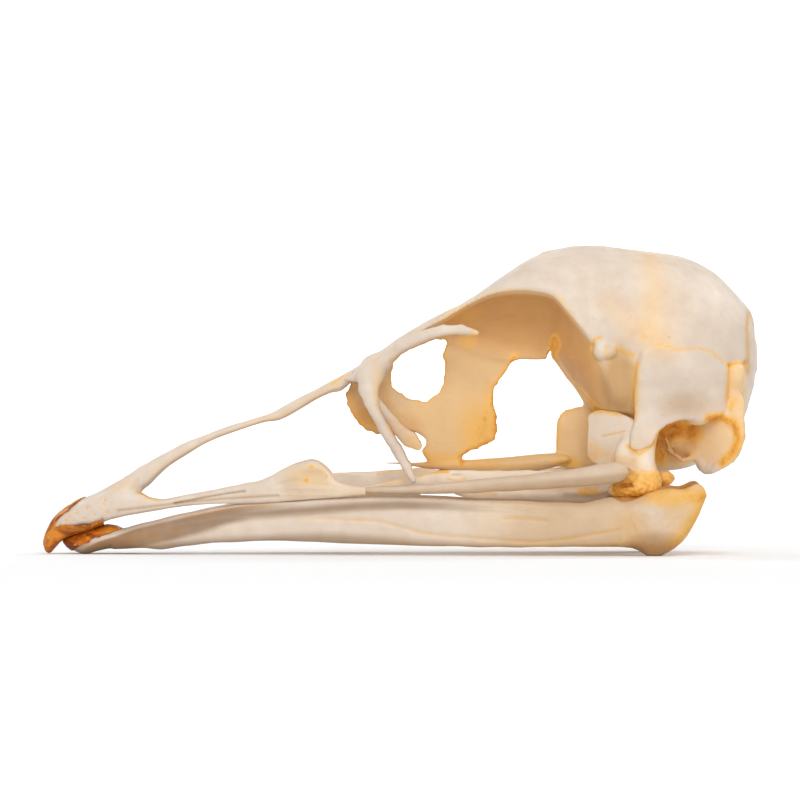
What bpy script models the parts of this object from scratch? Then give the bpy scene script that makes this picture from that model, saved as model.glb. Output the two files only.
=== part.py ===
"""An emu skull with its lower jaw, as a cleaned bone specimen that rests on a flat surface.

Frame: +Z up, the beak points along -X and the bird's left side faces -Y. The origin is under the
middle of the skull, and Z = 0 is the surface that the lower jaw rests on. Every outline below is
in millimetres, read along X; the objects are made in metres.

Each bone is a loft: a row of cross-sections along X, or along a path, whose upper edge, lower edge,
middle and half width are smooth functions through a few points.
"""

import math

import bmesh
import bpy
from mathutils import Vector

MM = 0.001

SKULL_LENGTH = 165.0  # hooked tip of the bill to the back of the head
SKULL_HEIGHT = 71.2  # resting surface to the crown
BACK_OF_HEAD = SKULL_LENGTH / 2
GAP = 0.3  # between bones that touch
WALL = 1.8  # thickness of the braincase
SEPTUM_HALF = 0.65  # half the thickness of the sheet between the eyes
FORAMEN_RADIUS = 4.6  # the opening for the spinal cord
CASE_SQUARENESS = 2.25  # 2 would make the braincase elliptical in section
BAR_SQUARENESS = 2.6
BILL_SQUARENESS = 2.3
SIDES = {"left": -1, "right": 1}

BONE = (0.86, 0.78, 0.66, 1.0)
BONE_WARM = (0.82, 0.68, 0.47, 1.0)
HORN = (0.50, 0.20, 0.03, 1.0)

BILL_JOINT = -11.3  # where the upper bill meets the frontal bone
JUGAL_JOINT = -8.0  # where the upper jaw's side bar meets the cheek bar


def track(*points):
    """A smooth function through (x, value) points, level beyond its two ends."""
    xs = [p[0] for p in points]
    values = [p[1] for p in points]
    last = len(points) - 1

    def slope(i):
        low, high = max(i - 1, 0), min(i + 1, last)
        return (values[high] - values[low]) / (xs[high] - xs[low])

    def value(x):
        if x <= xs[0]:
            return values[0]
        if x >= xs[last]:
            return values[last]
        i = max(k for k in range(last) if xs[k] <= x)
        span = xs[i + 1] - xs[i]
        t = (x - xs[i]) / span
        rise = values[i] * (1 + 2 * t) * (1 - t) ** 2 + values[i + 1] * (3 - 2 * t) * t**2
        return rise + span * (slope(i) * t * (1 - t) ** 2 - slope(i + 1) * t**2 * (1 - t))

    return value


def oval(middle, low, high, half_width, sides=8, power=2.0):
    """A cross-section as (y, z) points: an ellipse at power 2, squarer above it."""
    centre, half = (low + high) / 2, (high - low) / 2
    points = []
    for i in range(sides):
        angle = 2 * math.pi * i / sides
        c, s = math.cos(angle), math.sin(angle)
        y = middle + half_width * math.copysign(abs(c) ** (2 / power), c)
        z = centre + half * math.copysign(abs(s) ** (2 / power), s)
        points.append((y, z))
    return points


def slab(half_width, low, high):
    """A cross-section as (y, z) points: a rectangle."""
    return [(-half_width, low), (half_width, low), (half_width, high), (-half_width, high)]


def solid(name, rings):
    """A closed object skinned over rings of points in millimetres, with flat ends."""
    shape = bmesh.new()
    rows = [[shape.verts.new(Vector(p) * MM) for p in ring] for ring in rings]
    for row, following in zip(rows, rows[1:]):
        for i in range(len(row)):
            k = (i + 1) % len(row)
            shape.faces.new((row[i], row[k], following[k], following[i]))
    shape.faces.new(rows[0])
    shape.faces.new(rows[-1])
    shape.normal_update()
    bmesh.ops.triangulate(shape, faces=shape.faces[:])
    bmesh.ops.recalc_face_normals(shape, faces=shape.faces[:])
    mesh = bpy.data.meshes.new(name)
    shape.to_mesh(mesh)
    shape.free()
    made = bpy.data.objects.new(name, mesh)
    bpy.context.scene.collection.objects.link(made)
    return made


def loft(name, xs, section, side=1):
    """A solid through section(x) at every x; side -1 makes its mirror image."""
    return solid(name, [[(x, side * y, z) for y, z in section(x)] for x in xs])


def rod(name, path, across, along, side=1, sides=8):
    """A round bar through path points, with half widths across the view and along it at each point."""
    points = [Vector((p[0], side * p[1], p[2])) for p in path]
    rings = []
    for i, point in enumerate(points):
        heading = (points[min(i + 1, len(points) - 1)] - points[max(i - 1, 0)]).normalized()
        flat = heading.cross(Vector((0, 1, 0))).normalized()
        deep = heading.cross(flat)
        ring = []
        for k in range(sides):
            angle = 2 * math.pi * k / sides
            ring.append(point + flat * across[i] * math.cos(angle) + deep * along[i] * math.sin(angle))
        rings.append(ring)
    return solid(name, rings)


def plate(name, outline, half_thickness, middle=0.0):
    """A flat sheet with the given (x, z) outline, lying in the plane y = middle."""
    faces = [[(x, middle + y, z) for x, z in outline] for y in (-half_thickness, half_thickness)]
    return solid(name, faces)


def ball(name, centre, radii):
    """An ellipsoid."""
    shape = bmesh.new()
    bmesh.ops.create_icosphere(shape, subdivisions=2, radius=1.0)
    for vertex in shape.verts:
        vertex.co = Vector([(c + r * v) * MM for c, r, v in zip(centre, radii, vertex.co)])
    mesh = bpy.data.meshes.new(name)
    shape.to_mesh(mesh)
    shape.free()
    made = bpy.data.objects.new(name, mesh)
    bpy.context.scene.collection.objects.link(made)
    return made


def block(name, low, high):
    """A box between two corners."""
    corners = [(low[1], low[2]), (high[1], low[2]), (high[1], high[2]), (low[1], high[2])]
    return loft(name, (low[0], high[0]), lambda x: corners)


def combine(base, tool, operation):
    """Joins tool to base or cuts it away, and removes it."""
    modifier = base.modifiers.new("combine", "BOOLEAN")
    modifier.operation = operation
    modifier.solver = "EXACT"
    modifier.object = tool
    graph = bpy.context.evaluated_depsgraph_get()
    mesh = bpy.data.meshes.new_from_object(base.evaluated_get(graph))
    base.modifiers.clear()
    base.data = mesh
    bpy.data.objects.remove(tool)
    return base


def fuse(base, *others):
    for other in others:
        combine(base, other, "UNION")
    return base


def cut(base, *others):
    for other in others:
        combine(base, other, "DIFFERENCE")
    return base


def finish(made, colour, roughness):
    """Gives an object its material and smooth faces with sharp broken edges."""
    name = "horn" if colour is HORN else "bone_warm" if colour is BONE_WARM else "bone"
    material = bpy.data.materials.get(name) or bpy.data.materials.new(name)
    material.use_nodes = True
    shader = material.node_tree.nodes["Principled BSDF"]
    shader.inputs["Base Color"].default_value = colour
    shader.inputs["Roughness"].default_value = roughness
    shader.inputs["Metallic"].default_value = 0.0
    made.data.materials.clear()
    made.data.materials.append(material)
    made.data.shade_smooth()
    made.data.set_sharp_from_angle(angle=math.radians(50))
    return made


# The crown, read from the front of the frontal bone to the nape.
CROWN = track(
    (-11, 42.6), (-5, 46.5), (0, 50.1), (5, 53.2), (10, 55.8), (15, 58.3), (20, 61.6), (25, 65.2),
    (30, 68.6), (34, 70.4), (38, 71.0), (43, SKULL_HEIGHT), (50, 70.7), (57, 69.9), (63, 69.0),
    (68, 67.5), (72.6, 64.9), (75.8, 62.0), (78.7, 58.9), (80.6, 56.6), (81.7, 54.4), (BACK_OF_HEAD, 48.0),
)

ROOF_STATIONS = (-11, -7, -3, 1, 5, 9, 13, 17, 21, 25, 29, 33, 37, 41, 44, 47)

# The bony rim above the eye: how far out it reaches, how high it lies, and the keel below it.
RIM_REACH = track(
    (-11, 6.9), (-5, 7.8), (0, 8.6), (5, 11.4), (10, 13.3), (20, 16.4), (30, 19.3), (40, 21.2),
    (47, 19.6),
)
RIM_HEIGHT = track(
    (-11, 40.6), (-5, 44.2), (0, 47.6), (5, 51.2), (10, 54.0), (15, 57.0), (20, 59.5), (25, 60.6),
    (30, 60.6), (35, 59.5), (38, 56.4), (41, 52.8), (44, 49.5), (47, 49),
)
KEEL_HEIGHT = track(
    (-11, 39.7), (-5, 42.8), (0, 46.6), (5, 48.9), (8, 49.8), (14, 48.6), (20, 46.4), (27, 45.0),
    (36, 45.2), (47, 47),
)
KEEL_WIDTH = track((-11, 5.0), (0, 4.0), (10, 2.0), (18, 1.4), (28, 2.2), (34, 3.5), (40, 12), (47, 18))


def roof_section(margin=0.0):
    """Crown over a keel: two eye sockets hollow it out from below on either side."""

    def section(x):
        sink = max(0.0, x - 43) * 0.5  # the rear end runs in under the braincase
        top, rim = CROWN(x) - sink + margin, RIM_HEIGHT(x)
        reach, keel, inner = RIM_REACH(x) + margin, KEEL_HEIGHT(x) - margin, KEEL_WIDTH(x) + margin
        fullness = 2 / (2.0 + 0.3 * max(0.0, min(1.0, (x - 25) / 15)))  # squarer towards the braincase
        half = [(0.0, top)]
        for degrees in (72, 54, 36, 18, 0):
            a = math.radians(degrees)
            half.append((reach * math.cos(a) ** fullness, rim + (top - rim) * math.sin(a) ** fullness))
        for degrees in (20, 42, 64, 86):
            b = math.radians(degrees)
            half.append((reach - (reach - inner) * math.sin(b), keel + (rim - keel) * math.cos(b)))
        half.append((0.0, keel - 0.2))
        return half + [(-y, z) for y, z in reversed(half[1:-1])]

    return section


# The braincase: a rounded box between its floor and the crown.
CASE_FLOOR = track(
    (34.6, 50.5), (36, 44.8), (38, 41.2), (40, 38.6), (42, 35.6), (44, 32.6), (50, 29.0), (56, 27.2),
    (62, 26.2), (68, 26.0), (73, 27.0), (77, 28.8), (80, 31.8), (81.6, 37.5), (BACK_OF_HEAD, 42.5),
)
CASE_WIDTH = track(
    (34.6, 2.0), (36, 6.0), (38, 10.0), (41, 15.2), (45, 19.6), (50, 22.6), (56, 24.2), (62, 24.2),
    (68, 22.6), (73, 19.6), (77, 15.6), (80, 11.0), (81.8, 6.5), (BACK_OF_HEAD, 2.5),
)
CASE_STATIONS = (34.6, 36, 38, 40, 42, 45, 50, 56, 62, 67, 71, 75, 78.3, 80.5, 81.7, BACK_OF_HEAD)
CAVITY_STATIONS = (39, 42, 48, 56, 64, 71, 76, 79.4)


def case_section(margin=0.0):
    """The braincase at x; a negative margin gives the brain cavity."""

    def section(x):
        under_roof = 1.2 * max(0.0, min(1.0, (46 - x) / 5))
        low, high = CASE_FLOOR(x) - margin, CROWN(x) - under_roof + margin
        return oval(0.0, low, high, CASE_WIDTH(x) + margin, sides=16, power=CASE_SQUARENESS)

    return section


# The cheek of the skull: the squamosal with its long process down to the quadrate.
SQUAMOSAL_LOW = track(
    (52.6, 25.0), (54.5, 24.2), (56.5, 24.9), (58.0, 26.8), (60, 29.2), (62, 30.5), (65, 31.2),
    (70, 31.5), (74, 32.4), (75.5, 34.5),
)
SQUAMOSAL_HIGH = track(
    (52.6, 29), (53.6, 40.0), (55, 45.5), (58, 47.6), (65, 48.0), (71, 47.0), (75.5, 43.5),
)
SQUAMOSAL_HALF = 2.0
SQUAMOSAL_STATIONS = (52.6, 53.6, 55, 57, 59, 62, 66, 70, 73.5, 75.5)
SQUAMOSAL_MIDDLE = track((52.6, 22.7), (56, 22.4), (62, 22.2), (68, 20.9), (73, 18.8), (75.5, 17.6))


def squamosal_section(margin=0.0):
    def section(x):
        low, high = SQUAMOSAL_LOW(x) - margin, SQUAMOSAL_HIGH(x) + margin
        return oval(SQUAMOSAL_MIDDLE(x), low, high, SQUAMOSAL_HALF + margin, power=3.0)

    return section


# The sheet of bone between the eyes, in front of the open fenestra.
SEPTUM_OUTLINE = (
    (-12.9, 37.2), (-12.5, 36.1), (-11.6, 33.2), (-9.9, 30.5), (-7.6, 28.6), (-5.4, 27.6), (0, 28.0),
    (3, 28.1), (6, 26.4), (6, 25.0), (4.9, 23.6), (6.8, 21.0), (14.2, 21.2), (14.8, 22.9), (18, 24.1),
    (22, 26.3), (22.7, 30.0), (21.7, 34.5), (21.7, 37.5), (22.4, 39.9), (24.2, 41.4), (26.4, 45.4),
    (20, 48.5), (12, 50.5), (5, 49.4), (0, 46.8), (-5, 43.4), (-10.6, 40.4), (-10.8, 38.8),
)
SEPTUM_WINDOW = (
    (-1.6, 44.6), (-1.8, 38.8), (2, 35.8), (5.8, 35.4), (9, 37.6), (10.2, 42), (9.8, 45.6),
    (10.7, 48.8), (5, 47.2),
)

ROSTRUM_LOW = track(
    (-4, 21.0), (0, 20.6), (5, 20.3), (12, 19.6), (20, 19.1), (26, 19.0), (32, 19.4), (40, 20.4),
)
ROSTRUM_HIGH = track(
    (-4, 21.35), (5, 21.1), (14, 21.7), (20, 22.0), (25, 22.4), (30, 22.8), (36, 23.2), (40, 23.6),
)
ROSTRUM_WIDTH = track((-4, 0.15), (5, 0.6), (20, 1.4), (40, 2.0))

BASE_LOW = track(
    (36.2, 21.5), (40, 20.2), (47, 19.8), (55, 19.4), (62, 19.2), (67, 20.0), (72, 22.5), (76, 25.0),
)
BASE_HIGH = track((36.2, 30.8), (37.2, 32.6), (38.6, 33.5), (43, 34.2), (76, 34.0))
BASE_WIDTH = track(
    (36.2, 1.1), (41, 1.5), (44, 3.0), (50, 6.5), (58, 9.8), (66, 10.6), (72, 8.0), (76, 4.5),
)

WING_LOW = track(
    (65, 23.8), (68.2, 21.0), (69.3, 18.9), (70.6, 18.4), (73.9, 20.1), (76.4, 21.6), (78.3, 24.0),
    (79.2, 27.0),
)
WING_HIGH = track((65, 32.0), (70, 35.0), (75, 39.0), (77.5, 41.5), (79.2, 38.0))
WING_MIDDLE = track((65, 9.5), (70, 13.5), (75, 17.0), (79.2, 18.6))


def make_cranium():
    """Braincase, eye roof, septum and skull base, grown together in one bone."""
    skull = loft("cranium", CASE_STATIONS, case_section())
    roof = loft("roof", ROOF_STATIONS, roof_section())
    base = loft("base", (36.2, 39, 42, 46, 51, 57, 63, 67, 72, 76), base_section)
    fuse(skull, roof, base)

    for side in SIDES.values():
        fuse(skull, loft("squamosal", SQUAMOSAL_STATIONS, squamosal_section(), side))
        wing = lambda x: oval(WING_MIDDLE(x), WING_LOW(x), WING_HIGH(x), 1.7, power=BAR_SQUARENESS)
        fuse(skull, loft("wing", (65, 67, 69, 70.6, 73, 76, 78, 79.2), wing, side))
        fuse(skull, ball("knob", (46.6, side * 21.2, 47.6), (2.1, 2.4, 2.2)))
        basipterygoid = [(41, 0.8, 23.0), (44, 4.6, 22.0), (46.4, 8.0, 20.9)]
        fuse(skull, rod("basipterygoid", basipterygoid, (1.6, 1.5, 1.1), (1.3, 1.3, 1.0), side, sides=6))

    rostrum = lambda x: oval(0.0, ROSTRUM_LOW(x), ROSTRUM_HIGH(x), ROSTRUM_WIDTH(x))
    fuse(skull, plate("septum", SEPTUM_OUTLINE, SEPTUM_HALF))
    fuse(skull, loft("rostrum", (-4, 0, 5, 10, 15, 20, 26, 32, 37, 40), rostrum))
    cut(skull, plate("window", SEPTUM_WINDOW, 3.0))
    fuse(skull, ball("condyle", (77.2, 0.0, 26.6), (2.6, 2.6, 2.3)))

    cut(skull, loft("cavity", CAVITY_STATIONS, case_section(-WALL)))
    foramen = [(70, 0, 36.5), (76, 0, 35.0), (80, 0, 33.6), (86, 0, 31.8)]
    cut(skull, rod("foramen", foramen, (FORAMEN_RADIUS,) * 4, (FORAMEN_RADIUS,) * 4, sides=12))
    return finish(skull, BONE, 0.55)


def base_section(x):
    return oval(0.0, BASE_LOW(x), BASE_HIGH(x), BASE_WIDTH(x), sides=12, power=2.8)


# Upper bill: the long bar over the nostrils, the two side bars and the solid front.
CULMEN_HIGH = track(
    (-63, 17.6), (-60, 20.0), (-55, 22.9), (-50, 25.5), (-45, 27.5), (-40, 29.4), (-35, 30.9), (-30, 32.5),
    (-25, 35.2), (-20, 37.8), (-15, 40.4), (-11, 42.6),
)
CULMEN_LOW = track(
    (-63, 12.8), (-60, 14.4), (-58, 15.8), (-56, 17.8), (-53.5, 20.1), (-50, 22.4), (-45, 25.4),
    (-40, 27.5),
    (-35, 29.2), (-31, 30.4), (-28, 30.8), (-25, 32.2), (-20, 35.2), (-16, 37.1), (-13.5, 37.7),
    (-11, 39.8),
)
CULMEN_WIDTH = track(
    (-63, 5.0), (-58, 4.4), (-52, 3.6), (-45, 3.0), (-35, 2.6), (-30, 2.8), (-25, 3.7), (-18, 5.3),
    (-11, 6.9),
)

SIDE_BAR_HIGH = track(
    (-64, 15.0), (-60.3, 14.1), (-58, 13.0), (-56, 12.6), (-54, 12.6), (-50, 13.4), (-45, 14.3),
    (-40, 15.3),
    (-36, 16.1), (-33, 16.6), (-30, 17.8), (-27.5, 19.2), (-25, 20.4), (-22, 21.4), (-20.5, 21.7),
    (-19, 21.4),
    (-17.5, 20.5), (-16.2, 19.2), (-14.8, 17.4), (-12.5, 16.3), (-9, 15.8), (-6, 15.7),
)
SIDE_BAR_LOW = track(
    (-64, 8.5), (-60, 9.5), (-55, 10.5), (-50, 11.3), (-45, 11.8), (-40, 12.1), (-35, 12.4), (-30, 12.7),
    (-20, 13.4), (-6, 14.2),
)
SIDE_BAR_MIDDLE = track(
    (-64, 6.2), (-60, 7.0), (-50, 8.9), (-40, 10.7), (-30, 12.3), (-20, 13.8), (-10, 15.3),
    (-6, 15.8),
)
SIDE_BAR_WIDTH = track((-64, 1.6), (-58, 1.4), (-45, 1.2), (-35, 1.3), (-24, 1.6), (-15, 1.3), (-6, 1.0))

PREMAXILLA_STATIONS = (-79.2, -78, -76, -73, -70, -66, -62.6, -61, -59.9)
PREMAXILLA_HIGH = track(
    (-79.2, 7.6), (-78, 8.9), (-76, 10.5), (-74, 11.9), (-72, 13.0), (-70, 14.1), (-65, 16.9),
    (-59.9, 19.9),
)
PREMAXILLA_LOW = track(
    (-79.2, 7.0), (-76, 6.8), (-72, 6.8), (-70, 7.2), (-68, 7.8), (-65, 8.5), (-59.9, 9.8),
)
PREMAXILLA_WIDTH = track(
    (-79.2, 3.0), (-77, 4.4), (-74, 5.6), (-70, 6.7), (-65, 7.7), (-62.6, 7.3), (-61, 6.0),
    (-59.9, 4.6),
)


def whole_width(low, high, width, power=BILL_SQUARENESS):
    """The section function of a bone that lies across the middle plane."""
    return lambda x: oval(0.0, low(x), high(x), width(x), sides=12, power=power)


def side_bar_section(x):
    low, high = SIDE_BAR_LOW(x), SIDE_BAR_HIGH(x)
    return oval(SIDE_BAR_MIDDLE(x), low, high, SIDE_BAR_WIDTH(x), power=BAR_SQUARENESS)


SHELF_LOW, SHELF_HIGH = 14.1, 15.0  # the palate's side shelves


def make_upper_bill():
    """The premaxilla, nasals and maxillae, one bone around two nostrils."""
    front = whole_width(PREMAXILLA_LOW, PREMAXILLA_HIGH, PREMAXILLA_WIDTH)
    bill = loft("upper_bill", PREMAXILLA_STATIONS, front)
    culmen = lambda x: oval(0.0, CULMEN_LOW(x), CULMEN_HIGH(x), CULMEN_WIDTH(x), power=BILL_SQUARENESS)
    culmen_stations = [-63, -60, -58, -56, -53.5, -50, -46, -42, -37, -32, -28, -24, -19, -14, BILL_JOINT]
    fuse(bill, loft("culmen", culmen_stations, culmen))
    bar_stations = [-64, -60, -57, -54, -49, -43, -37, -33, -30, -27, -24, -21]
    bar_stations += [-18.5, -16.5, -14.5, -12, JUGAL_JOINT]
    for side in SIDES.values():
        fuse(bill, loft("side_bar", bar_stations, side_bar_section, side))
    inner_edge = track((-31, 9.0), (-27, 5.4), (-20, 4.6), (-16, 7.5))
    outer_edge = track((-31, 12.4), (-16, 14.4))

    def shelf(x):
        inner, outer = inner_edge(x), outer_edge(x)
        return [(inner, SHELF_LOW), (outer, SHELF_LOW), (outer, SHELF_HIGH), (inner, SHELF_HIGH)]

    for side in SIDES.values():
        fuse(bill, loft("palate_shelf", (-31, -29, -27, -23, -20, -18, -16), shelf, side))
    for side in SIDES.values():
        cut(bill, ball("recess", (-20.3, side * 15.7, 18.3), (3.6, 1.3, 1.8)))
    return finish(bill, BONE, 0.5)


# Horn left on the tips of the bill, split from the bone along these lines.
UPPER_HORN_HIGH = track(
    (-82.5, 2.9), (-82.1, 4.4), (-81.4, 6.1), (-80.6, 7.6), (-79.5, 9.0), (-78, 10.3), (-76, 11.7),
    (-74, 12.8), (-71.8, 13.6), (-68.4, 14.95),
)
UPPER_HORN_LOW = track(
    (-82.5, 2.3), (-82.1, 0.9), (-81.3, 0.15), (-80.4, 0.5), (-79.4, 1.6), (-78.2, 3.2), (-76, 4.9),
    (-72, 5.9), (-68.4, 7.0),
)
UPPER_HORN_WIDTH = track(
    (-82.5, 0.6), (-82.0, 1.4), (-81, 2.3), (-79.5, 3.5), (-78, 4.4), (-76, 5.2), (-73, 6.2),
    (-68.4, 7.2),
)
HORN_TOP_EDGE = track(
    (-79.8, 6.6), (-79.4, 8.2), (-78, 9.4), (-76, 11.0), (-74, 12.4), (-71.6, 13.9), (-68, 16.0),
)
HORN_BOTTOM_EDGE = track((-79.8, 6.0), (-79.2, 6.5), (-76, 6.4), (-72, 6.4), (-70, 6.75), (-68, 7.35))

LOWER_HORN_HIGH = track(
    (-77.9, 3.0), (-77.3, 3.6), (-76, 4.4), (-72, 5.4), (-69, 6.0), (-67, 6.5), (-65.4, 6.3),
    (-63.8, 5.8),
)
LOWER_HORN_LOW = track(
    (-77.9, 2.6), (-77.2, 1.7), (-76.4, 1.0), (-75.3, 0.4), (-74, 0.0), (-72.9, -0.15), (-71, 0.3),
)
LOWER_HORN_WIDTH = track((-77.9, 1.6), (-77.2, 2.6), (-76, 3.6), (-74, 4.7), (-70, 5.9), (-63.8, 6.9))
LOWER_HORN_EDGE = track(
    (-74.3, 1.5), (-72, 2.8), (-70, 3.8), (-68, 4.5), (-66, 5.1), (-63.8, 5.9), (-59, 7.2),
)


def make_upper_horn():
    """The hooked nail: a strip over the culmen, the tip, and a strip along each cutting edge."""
    outer = whole_width(UPPER_HORN_LOW, UPPER_HORN_HIGH, UPPER_HORN_WIDTH)
    horn = loft("upper_bill_horn", (-82.5, -82.1, -81.3, -80.2, -79, -77, -74.5, -71.8, -68.4), outer)
    window = lambda x: slab(12.0, HORN_BOTTOM_EDGE(x), HORN_TOP_EDGE(x))
    cut(horn, loft("bone_room", (-79.6,) + PREMAXILLA_STATIONS[1:6], window))
    return finish(horn, HORN, 0.35)


def make_lower_horn():
    outer = whole_width(LOWER_HORN_LOW, LOWER_HORN_HIGH, LOWER_HORN_WIDTH)
    horn = loft("lower_bill_horn", (-77.9, -77.2, -76.2, -74.6, -72.5, -70, -67, -65.4, -63.8), outer)
    under = lambda x: slab(12.0, -4.0, LOWER_HORN_EDGE(x))
    cut(horn, loft("bone_room", (-74.3,) + CHIN_STATIONS[1:], under))
    cut(horn, block("rest_plane", (-90, -20, -3), (-60, 20, 0)))
    return finish(horn, HORN, 0.35)


# Lower jaw, read from the tip to the heel behind the joint.
JAW_HIGH = track(
    (-74, 1.1), (-72, 2.4), (-70, 3.4), (-68, 4.1), (-66, 4.7), (-63.8, 5.5), (-60, 6.6), (-55, 7.8),
    (-50, 8.8),
    (-45, 9.9), (-40, 10.9), (-35, 11.6), (-30, 12.0), (-20, 12.7), (-10, 13.2), (-3, 13.4),
    (5, 13.2), (15, 12.8),
    (25, 12.7), (35, 12.3), (42, 12.2), (45, 12.8), (48.5, 13.5), (51.5, 12.5), (55, 13.5),
    (57, 14.3), (59, 14.9),
    (62, 15.6), (65.2, 15.6), (67, 16.3), (68.6, 16.8), (69.6, 16.0), (70.4, 14.6),
)
JAW_LOW = track(
    (-74, 0.4), (-73, -0.2), (-72, 0.0), (-70, 0.6), (-66, 1.3), (-60, 1.5), (-55, 1.2), (-50, 1.8),
    (-45, 2.4),
    (-38, 2.9), (-28, 3.2), (-18, 2.9), (-5, 2.5), (5, 2.2), (20, 1.9), (40, 2.0), (50, 2.1),
    (53, 1.8), (55, 1.0),
    (57, -0.2), (58.5, -0.5), (60, 0.0), (62, 1.1), (64, 2.5), (66, 4.8), (68, 8.2), (69.7, 12.0),
    (70.4, 14.0),
)
JAW_GROOVE = track(
    (-52, 6.8), (-45, 8.1), (-40, 8.9), (-30, 9.6), (-20, 10.3), (-10, 11.2), (0, 11.6), (20, 10.9),
)
JAW_MIDDLE = track(
    (-66, 3.0), (-60, 4.6), (-50, 7.2), (-40, 9.3), (-30, 11.2), (-20, 12.9), (-10, 14.5), (0, 15.9),
    (10, 17.2),
    (20, 18.4), (30, 19.5), (40, 20.6), (50, 21.4), (60, 21.8), (70.2, 20.6),
)
JAW_WIDTH = track(
    (-66, 2.6), (-58, 2.4), (-40, 2.0), (-20, 1.8), (10, 1.8), (35, 2.1), (48, 2.6), (57, 3.8),
    (64, 3.2), (70.2, 1.2),
)
CHIN_STATIONS = (-74, -73, -71, -68, -65, -62, -59.5)
CHIN_WIDTH = track((-74, 3.6), (-72, 4.7), (-68, 5.9), (-64, 6.6), (-59, 7.2))


def jaw_branch_section(x):
    return oval(JAW_MIDDLE(x), JAW_LOW(x), JAW_HIGH(x), JAW_WIDTH(x), power=BAR_SQUARENESS)


def make_mandible():
    """Two branches that meet in a short chin, each with a joint block and a heel at the back."""
    chin = whole_width(JAW_LOW, JAW_HIGH, CHIN_WIDTH, power=2.5)
    jaw = loft("mandible", CHIN_STATIONS, chin)
    stations = [-66, -60, -55, -48, -38, -28, -15, 0, 15, 30, 40, 45, 48.5, 51.5, 55, 57]
    stations += [58.5, 60, 62, 64, 66, 68, 69.5, 70.4]
    for side in SIDES.values():
        fuse(jaw, loft("branch", stations, jaw_branch_section, side))
        fuse(jaw, ball("joint_block", (59.5, side * 19.0, 10.6), (5.6, 5.2, 4.2)))
        medial_process = [(60, 18, 10.5), (60.5, 14, 11), (61, 10.5, 12)]
        fuse(jaw, rod("medial_process", medial_process, (3.0, 2.2, 1.0), (3.0, 1.8, 0.8), side, sides=6))
        outer_face = lambda x: JAW_MIDDLE(x) + JAW_WIDTH(x)
        trail = [(x, outer_face(x) + 0.3, JAW_GROOVE(x)) for x in (-52, -46, -36, -24, -8, 8, 20)]
        across, along = (0.2, 0.9, 1.0, 0.9, 0.8, 0.7, 0.2), (0.2, 0.9, 0.9, 0.9, 0.9, 0.9, 0.2)
        cut(jaw, rod("groove", trail, across, along, side, sides=6))
    throat = track((-67, 1.0), (-64, 2.6), (-58, 4.0))
    hollow = lambda x: oval(0.0, JAW_HIGH(x) - 2.2, JAW_HIGH(x) + 4.0, throat(x))
    cut(jaw, loft("tongue_room", (-67, -64, -61, -58), hollow))
    cut(jaw, block("rest_plane", (-90, -40, -3), (90, 40, 0)))
    return finish(jaw, BONE, 0.5)


CHEEK_LOW = track(
    (-7.7, 14.2), (5, 14.1), (15, 14.3), (20, 14.6), (30, 15.1), (40, 15.9),
    (46, 16.3), (50, 16.9), (51.7, 17.7), (52.3, 18.7),
)
CHEEK_HIGH = track(
    (-7.7, 15.7), (0, 15.9), (10, 16.8), (20, 17.8), (30, 18.8), (40, 20.1),
    (46, 21.2), (50, 21.5), (51.7, 20.9), (52.3, 20.0),
)
CHEEK_MIDDLE = track((-7.7, 15.6), (0, 17.0), (20, 20.2), (40, 23.5), (52.3, 25.2))
CHEEK_WIDTH = track((-7.7, 0.9), (10, 1.1), (30, 1.4), (45, 1.7), (50, 1.6), (52.3, 0.7))


def make_cheek_bar(name, side):
    """The jugal bar: a slender rod that thickens to a round end beside the quadrate."""
    section = lambda x: oval(CHEEK_MIDDLE(x), CHEEK_LOW(x), CHEEK_HIGH(x), CHEEK_WIDTH(x))
    bar = loft(name, (-7.7, 0, 8, 16, 24, 32, 39, 45, 49, 51.3, 52.3), section, side)
    return finish(bar, BONE, 0.5)


def make_lacrimal(name, side):
    """The bone in front of the eye: a spur back over it, a strut down to the cheek, and a small tongue."""
    spur = [
        (-9.0, 8.2, 41.0), (-7, 9.4, 42.0), (-4, 10.6, 44.6), (0, 12.2, 48.1), (5, 13.9, 50.2),
        (10, 15.4, 51.7), (14, 16.5, 51.9), (17.6, 17.2, 51.1),
    ]
    across, along = (1.3, 2.3, 2.2, 1.6, 1.3, 1.25, 1.1, 0.6), (1.0, 2.0, 2.0, 1.7, 1.4, 1.2, 1.0, 0.5)
    bone = rod(name, spur, across, along, side)
    body = [(-6.4, 9.8, 43.4), (-7.0, 10.4, 41.0), (-7.2, 10.8, 38.0), (-6.8, 11.1, 35.4)]
    strut = [
        (-6.9, 11.0, 37.0), (-5.8, 11.4, 33.0), (-3.6, 12.4, 28.8), (-0.9, 13.6, 24.4),
        (1.5, 14.6, 20.3), (3.0, 15.0, 17.2),
    ]
    tongue = [(-5.6, 10.4, 35.4), (-3.2, 9.9, 32.2), (-0.4, 9.6, 28.9), (2.3, 9.4, 26.4), (4.0, 9.3, 25.1)]
    fuse(bone, rod("body", body, (2.4, 2.9, 2.3, 1.5), (1.8, 1.8, 1.6, 1.2), side))
    fuse(bone, rod("strut", strut, (1.5, 1.3, 1.25, 1.2, 1.1, 0.7), (1.2, 1.1, 1.0, 0.9, 0.8, 0.5), side))
    fuse(bone, rod("tongue", tongue, (1.1, 1.3, 1.4, 1.8, 1.2), (0.7, 0.5, 0.5, 0.5, 0.3), side))
    cut(bone, loft("frontal_room", (-14,) + ROOF_STATIONS[:10], roof_section(GAP)))
    return finish(bone, BONE, 0.5)


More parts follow.
